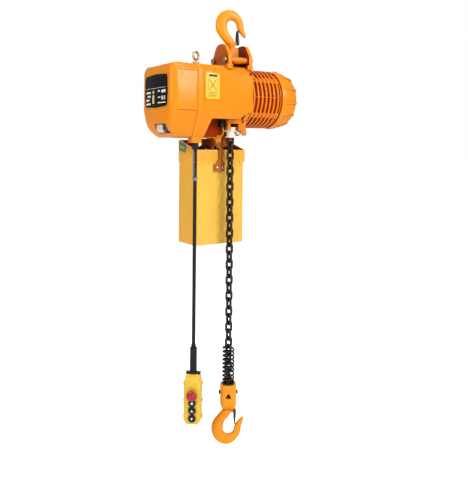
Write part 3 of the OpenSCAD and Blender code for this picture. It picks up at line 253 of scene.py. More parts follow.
# ------------------------------------------------------------------ the materials
ORANGE = (0.865, 0.270, 0.003)
SHEET_STEEL = (0.32, 0.32, 0.34)
COATS = {coat.name: coat for coat in (
    paint("enamel_orange", ORANGE, corner_shade=0.85),
    paint("enamel_orange_cast", (0.86, 0.245, 0.005), rough=0.4, peel=0.12, corner_shade=0.85, wear=0.5),
    # painted shade: the fins get a redder paint and full corner darkening, which stand in for the
    # shade between them
    paint("enamel_orange_fins", (0.88, 0.235, 0.006), rough=0.38, peel=0.10, corner_shade=1.0,
          corner_shade_color=(0.50, 0.050, 0.002)),
    paint("enamel_orange_hook", (0.90, 0.31, 0.006), rough=0.34, peel=0.10, wear=0.8),
    # painted shade: a darker copy of the orange paint for the bucket bracket, which hangs in shade
    paint("enamel_orange_shaded", (0.52, 0.14, 0.004), rough=0.42, peel=0.12, corner_shade=0.8, wear=0.6),
    paint("enamel_bucket_yellow", (0.92, 0.545, 0.075), rough=0.45, peel=0.07, corner_shade=0.45,
          corner_shade_color=(0.55, 0.17, 0.008)),
    paint("plate_yellow", (0.90, 0.60, 0.06), rough=0.35, peel=0.03, corner_shade=0.2, wear=0.2),
    plastic("plate_black", (0.005, 0.004, 0.005), rough=0.4, grain=300.0, bump=0.02,
            dust=0.012, specular=0.12),
    metal("black_oiled_steel", (0.045, 0.043, 0.042), rough=0.3, oil=0.4, scale=220.0, bump=0.2,
          metallic=0.85, wear=0.35),
    paint("black_enamel", (0.012, 0.012, 0.013), rough=0.36, corner_shade_color=(0.004, 0.003, 0.003),
          wear=0.6),
    metal("turned_steel", (0.56, 0.56, 0.57), rough=0.28, grain=(8, 1, 1)),
    metal("zinc_yellow", (0.66, 0.52, 0.27), rough=0.32, scale=90.0, bump=0.08),
    metal("gear_steel", (0.46, 0.46, 0.47), rough=0.3, grain=(10, 1, 1), oil=0.8,
          dark=(0.05, 0.03, 0.01)),
    metal("cast_iron", (0.20, 0.20, 0.205), rough=0.55, scale=240.0, bump=0.35, metallic=0.8),
    metal("cast_aluminium", (0.62, 0.62, 0.61), rough=0.42, scale=260.0, bump=0.3),
    metal("bearing_steel", (0.72, 0.72, 0.74), rough=0.18, grain=(10, 1, 1)),
    metal("galvanised", (0.40, 0.41, 0.42), rough=0.42, scale=120.0, bump=0.15),
    plastic("black_plastic", (0.012, 0.012, 0.013), rough=0.45, specular=0.25, dust=0.05),
    plastic("cable_rubber", (0.009, 0.009, 0.01), rough=0.55, grain=260.0, bump=0.12, dust=0.07,
            specular=0.25),
    plastic("socket_olive", (0.055, 0.05, 0.02), rough=0.5),
    plastic("plug_white", (0.86, 0.84, 0.78), rough=0.4),
    plastic("lever_cream", (0.88, 0.80, 0.64), rough=0.38),
    plastic("pendant_yellow", (0.84, 0.53, 0.03), rough=0.36, grain=300.0, bump=0.10,
            clear=0.25, dust=0.08),
    plastic("mushroom_red", (0.42, 0.012, 0.018), rough=0.32, bump=0.03, clear=0.25,
            specular=0.35),
    plastic("brake_lining", (0.12, 0.085, 0.055), rough=0.8, grain=700.0, bump=0.4),
    striped("windings", dark=(0.16, 0.045, 0.012), light=(0.62, 0.22, 0.07), scale=130.0,
            distortion=1.5, metallic=0.7, rough=0.3, strength=0.6, distance=0.0012,
            wave_type="RINGS", rings_direction="X"),
    striped("core_sheets", dark=shade(SHEET_STEEL, 0.6), light=shade(SHEET_STEEL, 1.2),
            scale=320.0, distortion=0.0, metallic=0.9, rough=0.45, strength=0.4,
            distance=0.0006, wave_type="BANDS", bands_direction="X"),
    paint("transformer_brown", (0.16, 0.07, 0.03), rough=0.5, corner_shade_color=(0.04, 0.02, 0.01)),
    paint("enamel_orange_case", ORANGE, corner_shade=0.85),
    # painted shade: a dark red coat for the recessed faces round the chain outlet, which lie in shade
    paint("recess_shade_red", (0.36, 0.036, 0.002), rough=0.65, corner_shade_color=(0.14, 0.012, 0.001),
          wear=0.7, clear=0.0, specular=0.03),
    ink("ink_white", (0.82, 0.82, 0.8)),
    ink("ink_gold", (0.85, 0.62, 0.22)),
    ink("ink_black", (0.015, 0.014, 0.013)),
    ink("ink_brown", (0.30, 0.17, 0.02)),
    ink("ink_green", (0.09, 0.30, 0.13)),
    ink("ink_beige", (0.86, 0.50, 0.16)),
)}


def tint(name, color, tests, join="MULTIPLY", amount=1.0):
    """Multiply a coat by color where the joined tests hold.

    A test is (source, axis, value where it is 0, value where it is 1).
    """
    coat = COATS[name]
    sources = {"place": coat.node("ShaderNodeTexCoord").outputs["Object"],
               "normal": coat.node("ShaderNodeNewGeometry").outputs["True Normal"]}
    mask = None
    for source, axis, none, full in tests:
        split = coat.node("ShaderNodeSeparateXYZ", {0: sources[source]})
        test = coat.ramp(split.outputs[axis], span=(none, full))
        mask = test if mask is None else coat.math(join, mask, test)
    base = coat.shader.inputs["Base Color"].links[0].from_socket
    mask = coat.math("MULTIPLY", mask, amount)
    coat.set({"Base Color": coat.mix(mask, base, color, blend="MULTIPLY")})


# painted shade: the bucket's left-facing sides are darkened redder than its front; its upper band is
# redder too
tint("enamel_bucket_yellow", (1.0, 0.78, 0.42), join="MAXIMUM", amount=0.75,
     tests=[("place", "Z", -0.5245, -0.5205), ("normal", "X", -0.4, -0.9)])
# painted shade: the inner faces of the bucket's back wall and both end walls are darkened to
# red-brown
tint("enamel_bucket_yellow", (0.22, 0.07, 0.10),
     tests=[("normal", "Y", -0.5, -0.8), ("place", "Y", 0.10, 0.11)])
tint("enamel_bucket_yellow", (0.30, 0.12, 0.12),
     tests=[("normal", "X", 0.5, 0.8), ("place", "X", -0.10, -0.11)])
tint("enamel_bucket_yellow", (0.30, 0.12, 0.12),
     tests=[("normal", "X", -0.5, -0.8), ("place", "X", 0.05, 0.06)])
# painted shade: the suspension ears are darkened on their left-facing sides
tint("enamel_orange_case", (0.56, 0.38, 0.4),
     tests=[("place", "Z", -0.160, -0.150), ("normal", "X", -0.5, -0.8),
            ("place", "X", 0.02, 0.01)])
tint("enamel_orange_case", (0.38, 0.12, 0.2),
     tests=[("place", "Z", -0.175, -0.160), ("normal", "X", -0.5, -0.8),
            ("place", "X", 0.02, 0.03)])

# ------------------------------------------------------------------ CAD pieces
def by_piece(groups):
    return {piece: value for value, pieces in groups.items() for piece in pieces.split()}


# coat of each piece; pieces not listed are turned steel
COAT_OF = by_piece({
    "enamel_orange_case": "main_housing",
    "enamel_orange": "control_cover brake_cover",
    "enamel_orange_cast": "suspension_yoke chain_guide",
    "enamel_orange_fins": "motor_frame",
    "enamel_orange_hook": "top_hook hook_block bottom_hook",
    "enamel_orange_shaded": "bucket_bracket",
    "enamel_bucket_yellow": "chain_bucket",
    "black_enamel": "top_latch bottom_latch",
    "transformer_brown": "transformer",
    "plate_black": "capacity_plate",
    "plate_yellow": "side_plate",
    "black_oiled_steel": "slack_chain load_chain block_bolt end_chain buffer_spring",
    "cast_aluminium": "gearbox_cover",
    "cast_iron": "bearing_plate brake_magnet brake_armature load_sheave",
    "zinc_yellow": "lifting_eye suspension_pins",
    "gear_steel": "first_gear first_shaft second_gear second_shaft load_gear",
    "bearing_steel": "bearings",
    "galvanised": "strain_chain",
    "black_plastic": "contactors limit_switch cable_gland estop_stem "
                     "start_button up_button down_button",
    "cable_rubber": "pendant_cable",
    "socket_olive": "mains_socket",
    "plug_white": "plug_block",
    "lever_cream": "limit_lever",
    "pendant_yellow": "pendant_case",
    "mushroom_red": "estop_cap",
    "brake_lining": "brake_disc",
    "windings": "stator_windings",
    "core_sheets": "stator_core rotor_core",
})
# width in mm of the rounding on the pieces with sharp edges
EDGE_ROUNDING = by_piece({
    1.6: "main_housing suspension_yoke",
    1.4: "chain_guide",
    1.2: "control_cover brake_cover hook_block",
    1.0: "chain_bucket pendant_case",
    0.9: "motor_frame",
    0.8: "bucket_bracket limit_switch plug_block transformer brake_magnet "
         "start_button up_button down_button",
    0.7: "limit_lever block_bolt suspension_pins gearbox_cover load_sheave",
    0.6: "cable_gland mains_socket contactors brake_armature brake_disc bearing_plate "
         "top_hook_nut bottom_hook_nut",
    0.5: "capacity_plate estop_stem",
    0.4: "brake_screws flange_bolts bracket_screws top_latch bottom_latch",
    0.3: "side_plate cover_screws",
})


def shade_smooth(mesh):
    for polygon in mesh.polygons:
        polygon.use_smooth = True


def smoothing_group(degrees):
    """Node group that shades smooth across edges flatter than the angle."""
    name = "smooth_%d" % degrees
    group = bpy.data.node_groups.get(name)
    if group is not None:
        return group
    group = bpy.data.node_groups.new(name, "GeometryNodeTree")
    for direction in ("INPUT", "OUTPUT"):
        group.interface.new_socket("Geometry", in_out=direction, socket_type="NodeSocketGeometry")
    start = add_node(group, "NodeGroupInput", {})
    angle = add_node(group, "GeometryNodeInputMeshEdgeAngle", {})
    flat = add_node(group, "FunctionNodeCompare",
                    {0: angle.outputs["Unsigned Angle"], 1: math.radians(degrees)},
                    data_type="FLOAT", operation="LESS_THAN")
    faces = add_node(group, "GeometryNodeSetShadeSmooth",
                     {"Geometry": start.outputs[0]}, domain="FACE")
    edges = add_node(group, "GeometryNodeSetShadeSmooth",
                     {"Geometry": faces.outputs[0], "Shade Smooth": flat.outputs[0]},
                     domain="EDGE")
    add_node(group, "NodeGroupOutput", {0: edges.outputs[0]})
    return group


def smooth_below(obj, degrees):
    obj.modifiers.new("smooth", "NODES").node_group = smoothing_group(degrees)


def round_edges(obj, width):
    flatten = obj.modifiers.new("planar", "DECIMATE")   # merges the triangles of flat faces
    flatten.decimate_type = "DISSOLVE"
    flatten.angle_limit = math.radians(0.6)
    bevel = obj.modifiers.new("round", "BEVEL")
    bevel.width = width
    bevel.segments = 2
    bevel.limit_method = "ANGLE"
    bevel.angle_limit = math.radians(38)
    bevel.use_clamp_overlap = True
    bevel.harden_normals = False
    bevel.miter_outer = "MITER_ARC"


for name, obj in nodes.items():
    material = COATS[COAT_OF.get(name, "turned_steel")].material
    if len(obj.material_slots) == 0:
        obj.data.materials.append(material)
    for slot in obj.material_slots:
        slot.material = material
    shade_smooth(obj.data)
    obj.modifiers.new("weld", "WELD").merge_threshold = 0.00002
    if name in EDGE_ROUNDING:
        round_edges(obj, EDGE_ROUNDING[name] / 1000)
    smooth_below(obj, 32)


# ------------------------------------------------------------------ mesh helpers
def add_piece(name, verts, faces, coat, body, smooth):
    """Add a mesh that rides on a body; smooth is the largest smooth-shaded angle in degrees."""
    mesh = bpy.data.meshes.new(name)
    mesh.from_pydata([tuple(v) for v in verts], [], faces)
    mesh.validate()
    work = bmesh.new()
    work.from_mesh(mesh)
    bmesh.ops.recalc_face_normals(work, faces=work.faces)
    work.to_mesh(mesh)
    work.free()
    shade_smooth(mesh)
    obj = bpy.data.objects.new(name, mesh)
    scene.collection.objects.link(obj)
    mesh.materials.append(COATS[coat].material)
    smooth_below(obj, smooth)
    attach(obj, body)
    return obj


def mm(*point):
    """A vector in metres from coordinates in mm."""
    return Vector([value / 1000 for value in point])


def placed(place, points):
    """Points in mm moved by a matrix in metres."""
    return [place @ mm(*point) for point in points]


def circle(radius, count, x=0.0, y=0.0):
    angles = [2 * math.pi * i / count for i in range(count)]
    return [(x + radius * math.cos(angle), y + radius * math.sin(angle)) for angle in angles]


def ring_faces(rings, count, closed=False):
    """Quads between neighbouring rings of vertices; closed also joins the last to the first."""
    faces = []
    for i in range(rings if closed else rings - 1):
        here, there = i * count, (i + 1) % rings * count
        faces += [(here + j, here + (j + 1) % count, there + (j + 1) % count, there + j)
                  for j in range(count)]
    return faces


def end_caps(rings, count):
    """The first and the last ring as faces."""
    last = (rings - 1) * count
    return [tuple(range(count)), tuple(range(last, last + count))]


def lathe(profile, count, closed=False):
    """Turn a profile of (radius, z) about Z."""
    verts = [(x, y, z) for radius, z in profile for x, y in circle(radius, count)]
    return verts, ring_faces(len(profile), count, closed)


def join_meshes(parts):
    verts, faces = [], []
    for part_verts, part_faces in parts:
        faces += [tuple(index + len(verts) for index in face) for face in part_faces]
        verts += part_verts
    return verts, faces


def curve_at(stations, s):
    """Catmull-Rom curve through the stations, at station number s."""
    count = len(stations)
    i = min(int(s), count - 2)
    t = s - i
    around = (stations[max(i - 1, 0)], stations[i], stations[i + 1],
              stations[min(i + 2, count - 1)])
    return [0.5 * (2 * b + (c - a) * t + (2 * a - 5 * b + 4 * c - d) * t * t
                   + (3 * b - a - 3 * c + d) * t ** 3) for a, b, c, d in zip(*around)]


def tube(path, radius, sides):
    """A round bar along a list of points."""
    verts = []
    side = None
    for i, point in enumerate(path):
        along = (path[min(i + 1, len(path) - 1)] - path[max(i - 1, 0)]).normalized()
        if side is None:
            side = along.orthogonal().normalized()
        else:
            side = (side - along * side.dot(along)).normalized()
        other = along.cross(side)
        for j in range(sides):
            angle = 2 * math.pi * j / sides
            verts.append(point + (side * math.cos(angle) + other * math.sin(angle)) * radius)
    return verts, ring_faces(len(path), sides) + end_caps(len(path), sides)


def helix(radius, start, pitch, steps, steps_per_turn):
    """Points (across, across, along) of a coil."""
    for i in range(steps + 1):
        angle = 2 * math.pi * i / steps_per_turn
        yield (radius * math.cos(angle), radius * math.sin(angle),
               start + pitch * i / steps_per_turn)


# ------------------------------------------------------------------ hooks
# Hook frame, mm: the hook lies in XZ about the centre of its bend, its shank runs up +Z.
# stations from neck to tip: x, z, half width in the plane, half thickness along Y
HOOK_STATIONS = [
    (0, 71.6, 13.6, 13.6), (-1.5, 65.4, 14.6, 14.2), (-8, 57, 17, 14.6), (-15, 49, 17.6, 14.8),
    (-22.6, 41, 17.3, 15), (-28.4, 33.5, 18.2, 15), (-33.5, 25, 19.8, 15), (-37.8, 17, 21, 15),
    (-40.8, 8.5, 21.8, 15), (-42, -1, 22.2, 15), (-41, -12, 22.4, 15), (-37.6, -23, 22.2, 15),
    (-31, -33, 22, 15), (-22, -40.5, 21.4, 15), (-12, -45, 20.8, 15), (-1, -45.6, 19.8, 14.6),
    (10, -42.6, 18.2, 14), (20.6, -36, 16, 13.4), (28, -28.6, 14.6, 12.8), (33, -19.6, 14, 12),
    (35.8, -9.6, 13.6, 11.2), (38, 1, 13.2, 10.6), (41.6, 10, 11.4, 9.6), (46.4, 18, 9.8, 8.8),
    (51.4, 26.4, 7.8, 7.8), (55.4, 33, 5.6, 6.2), (57.8, 37.4, 3.2, 4), (58.8, 39.2, 1, 1.6)]
PIN_X, PIN_Z = 25, 63                           # latch pin
LUG_PROFILE = [(-5.5, 5.9), (-4.8, 6.6), (4.8, 6.6), (5.5, 5.9)]            # y, radius
WEB_OUTLINE = [(9, 56.4), (PIN_X, 56.6), (PIN_X, 69.4), (9, 71)]            # x, z
WEB_HALF_THICKNESS = 5.4
SQUARENESS = 0.88                               # power on the section; 1 is an ellipse
FLARE, FLARE_PER_RING = 0.1, 0.045              # one side of the section thickens from the neck
RIDGE, RIDGE_SPAN, RIDGE_MARGIN = 0.55, 0.12, 6  # forging line: height, spread, plain end rings
TANGENT_STEP = 0.4                              # in stations

top_place = Matrix.Rotation(math.radians(-12), 4, "Z") @ Matrix.Rotation(math.pi, 4, "X")
low_place = (Matrix.Translation((0, 0, LOWER_HOOK_Z))
             @ Matrix.Rotation(math.radians(-30), 4, "Z"))


def hook_bend():
    """The swept bend, with a forging line on its outer and inner edge."""
    steps, sides = 150, 40
    last = len(HOOK_STATIONS) - 1
    verts = []
    for i in range(steps + 1):
        s = i * last / steps
        x, z, half_width, half_thickness = curve_at(HOOK_STATIONS, s)
        before = curve_at(HOOK_STATIONS, max(s - TANGENT_STEP, 0))
        after = curve_at(HOOK_STATIONS, min(s + TANGENT_STEP, last))
        upright = min(1.0, s / 2)       # holds the first sections square to the shank
        along = Vector(((after[0] - before[0]) * upright, after[1] - before[1])).normalized()
        for j in range(sides):
            angle = 2 * math.pi * j / sides
            cosine, sine = math.cos(angle), math.sin(angle)
            across = math.copysign(abs(cosine) ** SQUARENESS, cosine)
            depth = math.copysign(abs(sine) ** SQUARENESS, sine)
            depth *= 1 + FLARE * cosine * min(1, i * FLARE_PER_RING)
            ridge = 0.0
            if RIDGE_MARGIN < i < steps - RIDGE_MARGIN:
                ridge = RIDGE * max(0.0, 1 - abs(sine) / RIDGE_SPAN)
            reach = half_width * across + math.copysign(ridge, across)
            verts.append((x - along[1] * reach, depth * half_thickness, z + along[0] * reach))
    first_cap, last_cap = end_caps(steps + 1, sides)
    return verts, ring_faces(steps + 1, sides) + [first_cap, last_cap[::-1]]


def hook_collar(neck):
    """Collar turned on the shank; neck is the height of its shoulder."""
    return lathe([(0.0, 60), (13.8, 60), (13.8, neck - 1.2), (12.9, neck), (10.0, neck),
                  (10.0, neck + 28), (0.0, neck + 28)], 48)


def pin_lug():
    sides, rings = 32, len(LUG_PROFILE)
    verts = [(x, y, z) for y, radius in LUG_PROFILE
             for x, z in circle(radius, sides, PIN_X, PIN_Z)]
    return verts, ring_faces(rings, sides) + end_caps(rings, sides)


def lug_web():
    """Web between the neck and the lug."""
    verts = [(x, y, z) for y in (-WEB_HALF_THICKNESS, WEB_HALF_THICKNESS) for x, z in WEB_OUTLINE]
    return verts, [(0, 1, 2, 3), (4, 5, 6, 7), (0, 1, 5, 4), (1, 2, 6, 5), (2, 3, 7, 6),
                   (3, 0, 4, 7)]


def add_hook(name, place, body, piece, neck):
    verts, faces = join_meshes([hook_bend(), hook_collar(neck), pin_lug(), lug_web()])
    hook = add_piece(name, placed(place, verts), faces, "enamel_orange_hook", body, smooth=40)
    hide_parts(piece)


def add_latch_spring(name, place, body):
    """Coil round the latch pin, along Y."""
    coil = helix(radius=3.9, start=-13.2, pitch=4.6 / 6, steps=96, steps_per_turn=16)
    path = placed(place, [(PIN_X + x, y, PIN_Z + z) for x, z, y in coil])
    add_piece(name, *tube(path, radius=0.0009, sides=8), "galvanised", body, smooth=60)


add_hook("top_hook_forging", top_place, "upper_hook", "top_hook", neck=81)
add_hook("bottom_hook_forging", low_place, "lower_hook", "bottom_hook", neck=72)
add_latch_spring("top_latch_spring", top_place, "upper_latch")
add_latch_spring("bottom_latch_spring", low_place, "lower_latch")

# ------------------------------------------------------------------ buffer spring
SPRING_TURNS, SPRING_STEPS = 8.6, 40            # steps per turn
SEAT_PROFILE = [(18.4, 168.1), (18.4, 172.4), (19.4, 173.2), (23.2, 173.2), (24.2, 172.2),
                (24.2, 168.1)]                  # radius, z in mm
coil = helix(radius=20.6, start=176.4, pitch=15.4, steps=int(SPRING_TURNS * SPRING_STEPS),
             steps_per_turn=SPRING_STEPS)
spring = add_piece("buffer_spring_coil", *tube(placed(low_place, coil), radius=0.0036, sides=14),
                   "black_enamel", "lower_block", smooth=60)
verts, faces = lathe(SEAT_PROFILE, 56, closed=True)
seat = add_piece("buffer_spring_seat", placed(low_place, verts), faces,
                 "black_enamel", "lower_block", smooth=40)
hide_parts("buffer_spring")

# ------------------------------------------------------------------ load chain
# mm; the bar's centre line is an oval of this width and length
LINK_PITCH, BAR, OVAL_WIDTH = 30.2, 9.9, 23.0
OVAL_LENGTH = LINK_PITCH + 10
WELD_RISE = [0.06, 0.175, 0.06]                 # extra bar radius at the last three stations
RUN_FIRST, RUN_LAST = 5, 31                     # links that draw up as the hook rises


def link_z(i):
    """Height of the centre of link i, in metres."""
    return -(i + 0.5) * LINK_PITCH / 1000 + DATUM_Z


def link_mesh(centre, lies_in_xz):
    """One welded link: a round bar bent to an oval, a little thicker at the weld."""
    arc_steps, sides = 16, 14
    radius = OVAL_WIDTH / 2
    straight = OVAL_LENGTH / 2 - radius         # half length of the straight sides
    path = []
    for sign in (1, -1):                        # upper arc and left side, then lower and right
        for i in range(arc_steps + 1):
            angle = math.pi * i / arc_steps
            path.append((sign * radius * math.cos(angle),
                         sign * (straight + radius * math.sin(angle))))
        path += [(-sign * radius, sign * (straight - 2 * straight * i / 4)) for i in range(1, 4)]
    count = len(path)
    rises = [0.0] * (count - len(WELD_RISE)) + WELD_RISE
    verts = []
    for i, (mid_x, mid_z) in enumerate(path):
        before, after = path[i - 1], path[(i + 1) % count]
        along = Vector((after[0] - before[0], after[1] - before[1])).normalized()
        bar_radius = BAR / 2 + rises[i]
        for j in range(sides):
            angle = 2 * math.pi * j / sides
            reach = bar_radius * math.cos(angle)
            x, y, z = mid_x - along[1] * reach, bar_radius * math.sin(angle), mid_z + along[0] * reach
            if not lies_in_xz:
                x, y = -y, x
            verts.append(mm(x, y, z) + centre)
    return verts, ring_faces(count, sides, closed=True)


def add_chain(name, first, last):
    verts, faces = join_meshes(link_mesh(Vector((0, 0, link_z(i))), i % 2 == 1)
                               for i in range(first, last + 1))
    chain = add_piece(name, verts, faces, "black_oiled_steel", "hoist_body", smooth=70)
    return chain


add_chain("load_chain_upper", 0, RUN_FIRST - 1)
run = add_chain("load_chain_run", RUN_FIRST, RUN_LAST)
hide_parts("load_chain")
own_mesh(run)

# ------------------------------------------------------------------ marks and thin coats
# axes of a face: right, up, out
FACING_LEFT = ((0, -1, 0), (0, 0, 1), (-1, 0, 0))
FACING_FRONT = ((1, 0, 0), (0, 0, 1), (0, -1, 0))
FACING_DOWN = ((1, 0, 0), (0, 1, 0), (0, 0, -1))
TILE_GAP = 0.00002              # between a surface and the tile on it
TILE_THICKNESS = 0.0003


def tile(name, origin, axes, outline, coat, body="hoist_body", thickness=TILE_THICKNESS):
    """A thin flat shape on a surface; the outline is (right, up) in metres from the origin."""
    right, up, out = (Vector(axis).normalized() for axis in axes)
    origin = Vector(origin) + out * TILE_GAP
    count = len(outline)
    verts = [origin + right * a + up * b for a, b in outline]
    verts += [vert + out * thickness for vert in verts]
    faces = [tuple(range(count - 1, -1, -1)), tuple(range(count, 2 * count))]
    faces += [(i, (i + 1) % count, count + (i + 1) % count, count + i) for i in range(count)]
    add_piece(name, verts, faces, coat, body, smooth=30)


def rectangle(left, right, bottom, top, radius=0.0):
    """Outline of a rectangle, with rounded corners if a radius is given."""
    if radius <= 0:
        return [(left, bottom), (right, bottom), (right, top), (left, top)]
    corner_steps = 4
    corners = [(right - radius, bottom + radius, -90), (right - radius, top - radius, 0),
               (left + radius, top - radius, 90), (left + radius, bottom + radius, 180)]
    outline = []
    for x, y, start in corners:
        for i in range(corner_steps + 1):
            angle = math.radians(start + 90 * i / corner_steps)
            outline.append((x + radius * math.cos(angle), y + radius * math.sin(angle)))
    return outline


# capacity plate: bars and a dot, no lettering
# name, coat, left and right in half widths, bottom and top in m, corner radius in m
PLATE_LEFT = [
    ("plate_rule", "ink_white", -0.90, 0.90, 0.0100, 0.0112, 0.0),
    ("plate_stroke_0", "ink_white", -0.86, -0.46, -0.0075, -0.0005, 0.003),
    ("plate_stroke_1", "ink_white", -0.74, -0.46, -0.0215, -0.0145, 0.003),
    ("plate_stroke_2", "ink_white", -0.86, -0.58, -0.0355, -0.0285, 0.003),
    ("plate_stroke_3", "ink_white", -0.86, -0.46, -0.0495, -0.0425, 0.003),
    ("plate_gold_a", "ink_gold", -0.30, -0.14, -0.046, -0.014, 0.004)]
PLATE_RIGHT = [
    ("plate_bar_0", "ink_white", 0.18, 0.36, -0.004, 0.002, 0.0012),
    ("plate_bar_1", "ink_white", 0.48, 0.84, -0.008, 0.002, 0.0012),
    ("plate_bar_2", "ink_white", 0.18, 0.40, -0.026, -0.022, 0.0012),
    ("plate_bar_3", "ink_white", 0.50, 0.60, -0.034, -0.020, 0.0012),
    ("plate_bar_4", "ink_white", 0.70, 0.80, -0.034, -0.020, 0.0012),
    ("plate_bar_5", "ink_white", 0.18, 0.84, -0.046, -0.042, 0.0012)]
low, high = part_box("capacity_plate")
plate_centre = (low.x, (low.y + high.y) / 2, (low.z + high.z) / 2)
half = (high.y - low.y) / 2


def plate_marks(rows):
    for name, coat, left, right, bottom, top, radius in rows:
        tile(name, plate_centre, FACING_LEFT,
             rectangle(half * left, half * right, bottom, top, radius), coat)


plate_marks(PLATE_LEFT)
tile("plate_gold_b", plate_centre, FACING_LEFT, circle(0.0065, 20, -half * 0.22, -0.003),
     "ink_gold")
plate_marks(PLATE_RIGHT)

# side plate: a bar, a frame with a cross in it, and four lines below
low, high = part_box("side_plate")
side_centre = ((low.x + high.x) / 2, low.y, (low.z + high.z) / 2)
half_x, half_z = (high.x - low.x) / 2, (high.z - low.z) / 2


def side_mark(name, outline, coat="ink_brown", thickness=TILE_THICKNESS):
    tile(name, side_centre, FACING_FRONT, outline, coat, thickness=thickness)


side_mark("mark_bar", rectangle(-half_x * 0.55, half_x * 0.62, half_z * 0.72, half_z * 0.90,
                                0.0015), "ink_black")
left, right, bottom, top = -half_x * 0.66, half_x * 0.70, -half_z * 0.40, half_z * 0.58
FRAME_LINE = 0.0009
side_mark("mark_frame_b", rectangle(left, right, bottom, bottom + FRAME_LINE))
side_mark("mark_frame_t", rectangle(left, right, top - FRAME_LINE, top))
side_mark("mark_frame_l", rectangle(left, left + FRAME_LINE, bottom + FRAME_LINE,
                                    top - FRAME_LINE))
side_mark("mark_frame_r", rectangle(right - FRAME_LINE, right, bottom + FRAME_LINE,
                                    top - FRAME_LINE))
CROSS_HALF_LINE = 0.0013
for i, sign in enumerate((-1, 1)):
    middle = Vector((0.0, (bottom + top) / 2))
    arm = Vector((half_x * 0.50, sign * half_z * 0.40))
    along = arm.normalized()
    side = Vector((-along.y, along.x)) * CROSS_HALF_LINE
    side_mark("mark_cross_%d" % i, [middle - arm - side, middle + arm - side,
                                    middle + arm + side, middle - arm + side],
              thickness=TILE_THICKNESS + 0.0001 * i)
for i in range(4):
    side_mark("mark_line_%d" % i,
              rectangle(-half_x * 0.62, half_x * (0.62 - 0.2 * (i % 2)),
                        -half_z * (0.54 + 0.11 * i), -half_z * (0.50 + 0.11 * i)))

# painted shade: dark red sheets on the recessed faces round the chain outlet: name, origin, axes,
# outline
RECESSES = [
    ("recess_face_a", (0, 0.011, DATUM_Z), FACING_FRONT,
     [(-0.1335, -0.1575), (-0.1165, -0.0885), (0.037, -0.0885), (0.037, -0.1035),
      (-0.0345, -0.1035), (-0.0345, -0.149), (-0.0575, -0.1495), (-0.0585, -0.1575)]),
    ("recess_face_b", (0, 0.036, DATUM_Z), FACING_FRONT,
     rectangle(-0.0335, 0.033, -0.1585, -0.1045)),
    ("recess_face_c", (0, 0, DATUM_Z - 0.088), FACING_DOWN,
     [(-0.114, -0.0565), (-0.004, -0.0565), (-0.004, -0.030), (-0.056, -0.030),
      (-0.056, 0.0105), (-0.114, 0.0105)])]
for name, origin, axes, outline in RECESSES:
    tile(name, origin, axes, outline, "recess_shade_red", thickness=0.0004)

# lead of the limit switch: x, y, z in mm, z from the datum
LEAD_STATIONS = [(-42, -9, -119), (-41, -13, -128), (-43, -14, -142), (-50, -9, -156),
                 (-62, 0, -165), (-74, 6, -157)]
LEAD_STEPS = 8                  # between neighbouring stations
path = [mm(*curve_at(LEAD_STATIONS, i / LEAD_STEPS)) + Vector((0, 0, DATUM_Z))
        for i in range((len(LEAD_STATIONS) - 1) * LEAD_STEPS + 1)]
add_piece("switch_lead", *tube(path, radius=0.0024, sides=12),
          "enamel_orange_hook", "hoist_body", smooth=60)

# label on the bucket's left end, set out from the upper back corner
low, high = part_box("chain_bucket")
label_corner = (low.x, high.y - 0.0015, high.z - 0.001)
tile("bucket_label", label_corner, FACING_LEFT,
     [(0.006, -0.040), (0.050, -0.051), (0.062, -0.047), (0.066, -0.037), (0.066, -0.0195),
      (0.006, -0.0022)], "ink_green")
tile("bucket_label_bar", label_corner, FACING_LEFT,
     [(0.014, -0.0225), (0.048, -0.0290), (0.048, -0.0340), (0.014, -0.0275)],
     "ink_beige", thickness=0.0005)

# push buttons: a disc, an arrowhead up and one down
PENDANT_TURN = math.radians(-38)
ARROWHEAD = [(-0.0052, -0.0036), (0.0052, -0.0036), (0.0018, 0.0012), (0.0, 0.0052),
             (-0.0018, 0.0012)]
button_out = Vector((math.sin(PENDANT_TURN), -math.cos(PENDANT_TURN), 0))
button_axes = ((math.cos(PENDANT_TURN), math.sin(PENDANT_TURN), 0), (0, 0, 1), button_out)
for body, outline in (("start", circle(0.0046, 24)),
                      ("up", ARROWHEAD),
                      ("down", [(-x, -y) for x, y in ARROWHEAD])):
    low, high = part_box(body + "_button")
    centre = (Vector(low) + Vector(high)) / 2
    front = max((vertex.co - centre).dot(button_out)
                for vertex in nodes[body + "_button"].data.vertices)
    tile("mark_" + body, centre + button_out * front, button_axes, outline, "ink_white", body)


# ------------------------------------------------------------------ floor
def floor_coat(name, color, glow):
    """Matt and pale; glow is the light it adds in the camera's view only."""
    coat = Coat(name)
    drift = coat.ramp(coat.noise(scale=1.2, detail=2), span=(0.3, 0.7))
    camera_ray = coat.node("ShaderNodeLightPath").outputs["Is Camera Ray"]
    coat.set({"Base Color": coat.mix(drift, shade(color, 0.985), color), "Roughness": 0.9,
              "Emission Color": (1, 1, 1, 1),
              "Emission Strength": coat.math("MULTIPLY", camera_ray, glow)})
    return coat


def add_floor():
    """A disc of three rings round a centre point."""
    sides, radii = 96, (2.0, 8.0, 45.0)
    z = cad_low.z - 0.22
    verts = [(0, 0, z)] + [(x, y, z) for radius in radii for x, y in circle(radius, sides)]
    faces = []
    for i in range(sides):
        here, after = 1 + i, 1 + (i + 1) % sides
        faces.append((0, here, after))
        for inner in (0, sides):
            outer = inner + sides
            faces.append((inner + here, outer + here, outer + after, inner + after))
    mesh = bpy.data.meshes.new("floor")
    mesh.from_pydata(verts, [], faces)
    shade_smooth(mesh)
    floor = bpy.data.objects.new("floor", mesh)
    scene.collection.objects.link(floor)
    mesh.materials.append(floor_coat("floor_pale", (0.93, 0.93, 0.925), glow=0.78).material)


add_floor()

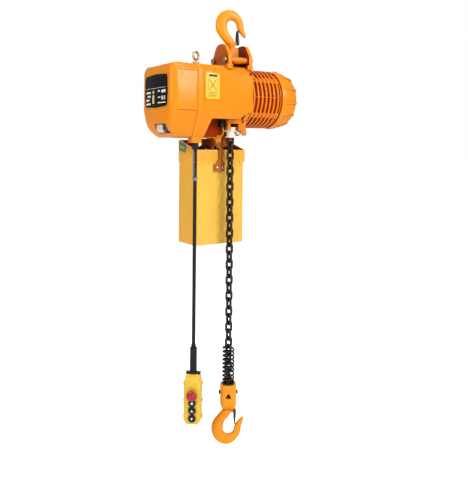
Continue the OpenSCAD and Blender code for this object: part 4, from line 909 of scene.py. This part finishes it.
# ------------------------------------------------------------------ world, lights, camera
# the world lights softly but is plain white to the camera
world = bpy.data.worlds.new("studio") if scene.world is None else scene.world
scene.world = world
world.use_nodes = True
tree = world.node_tree
tree.nodes.clear()
soft = add_node(tree, "ShaderNodeBackground",
                {"Color": (1.0, 0.995, 0.985, 1), "Strength": 0.36})
seen = add_node(tree, "ShaderNodeBackground", {"Color": (1, 1, 1, 1), "Strength": 1.0})
rays = add_node(tree, "ShaderNodeLightPath", {})
sky = add_node(tree, "ShaderNodeMixShader",
               {0: rays.outputs["Is Camera Ray"], 1: soft.outputs[0], 2: seen.outputs[0]})
add_node(tree, "ShaderNodeOutputWorld", {0: sky.outputs[0]})

# name, place, target, diameter, power in watts, colour
LIGHTS = [
    ("key", (1.3, -3.3, 1.2), (0, 0, -0.5), 1.7, 98, (1, 0.985, 0.96)),
    ("left", (-3.0, -1.0, 0.7), (-0.1, 0, -0.35), 1.6, 48, (1, 1, 1)),
    ("low", (-1.2, -3.2, -1.3), (0, 0, -0.9), 1.8, 16, (1, 1, 1)),
    ("top", (0.3, -0.2, 2.4), (0, 0, 0), 1.6, 22, (1, 1, 1)),
    ("back", (1.6, 3.2, 1.5), (0, 0, -0.3), 2.0, 60, (1, 1, 1))]
for name, place, target, diameter, power, color in LIGHTS:
    light = bpy.data.lights.new(name, "AREA")
    light.shape = "DISK"
    light.size = diameter
    light.energy = power
    light.color = color
    lamp = bpy.data.objects.new(name, light)
    scene.collection.objects.link(lamp)
    lamp.location = place
    aim = Vector(target) - Vector(place)
    lamp.rotation_euler = aim.to_track_quat("-Z", "Y").to_euler()

# level camera in front and to the left, with the view shifted down and a slight roll
CAMERA_PLACE = (-1.313, -2.004, DATUM_Z - 0.186)
CAMERA_ROLL = math.radians(0.5)
view = Vector((0.553, 0.833, 0)).normalized()
up = Vector((0, 0, 1))
lens = bpy.data.cameras.new("camera")
lens.sensor_width = 36
lens.lens = 45.966942
lens.shift_y = -0.20041322
lens.clip_end = 50
camera = bpy.data.objects.new("camera", lens)
scene.collection.objects.link(camera)
facing = Matrix((view.cross(up), up, -view)).transposed().to_4x4()
camera.matrix_world = (Matrix.Translation(CAMERA_PLACE) @ facing
                       @ Matrix.Rotation(CAMERA_ROLL, 4, "Z"))
scene.camera = camera
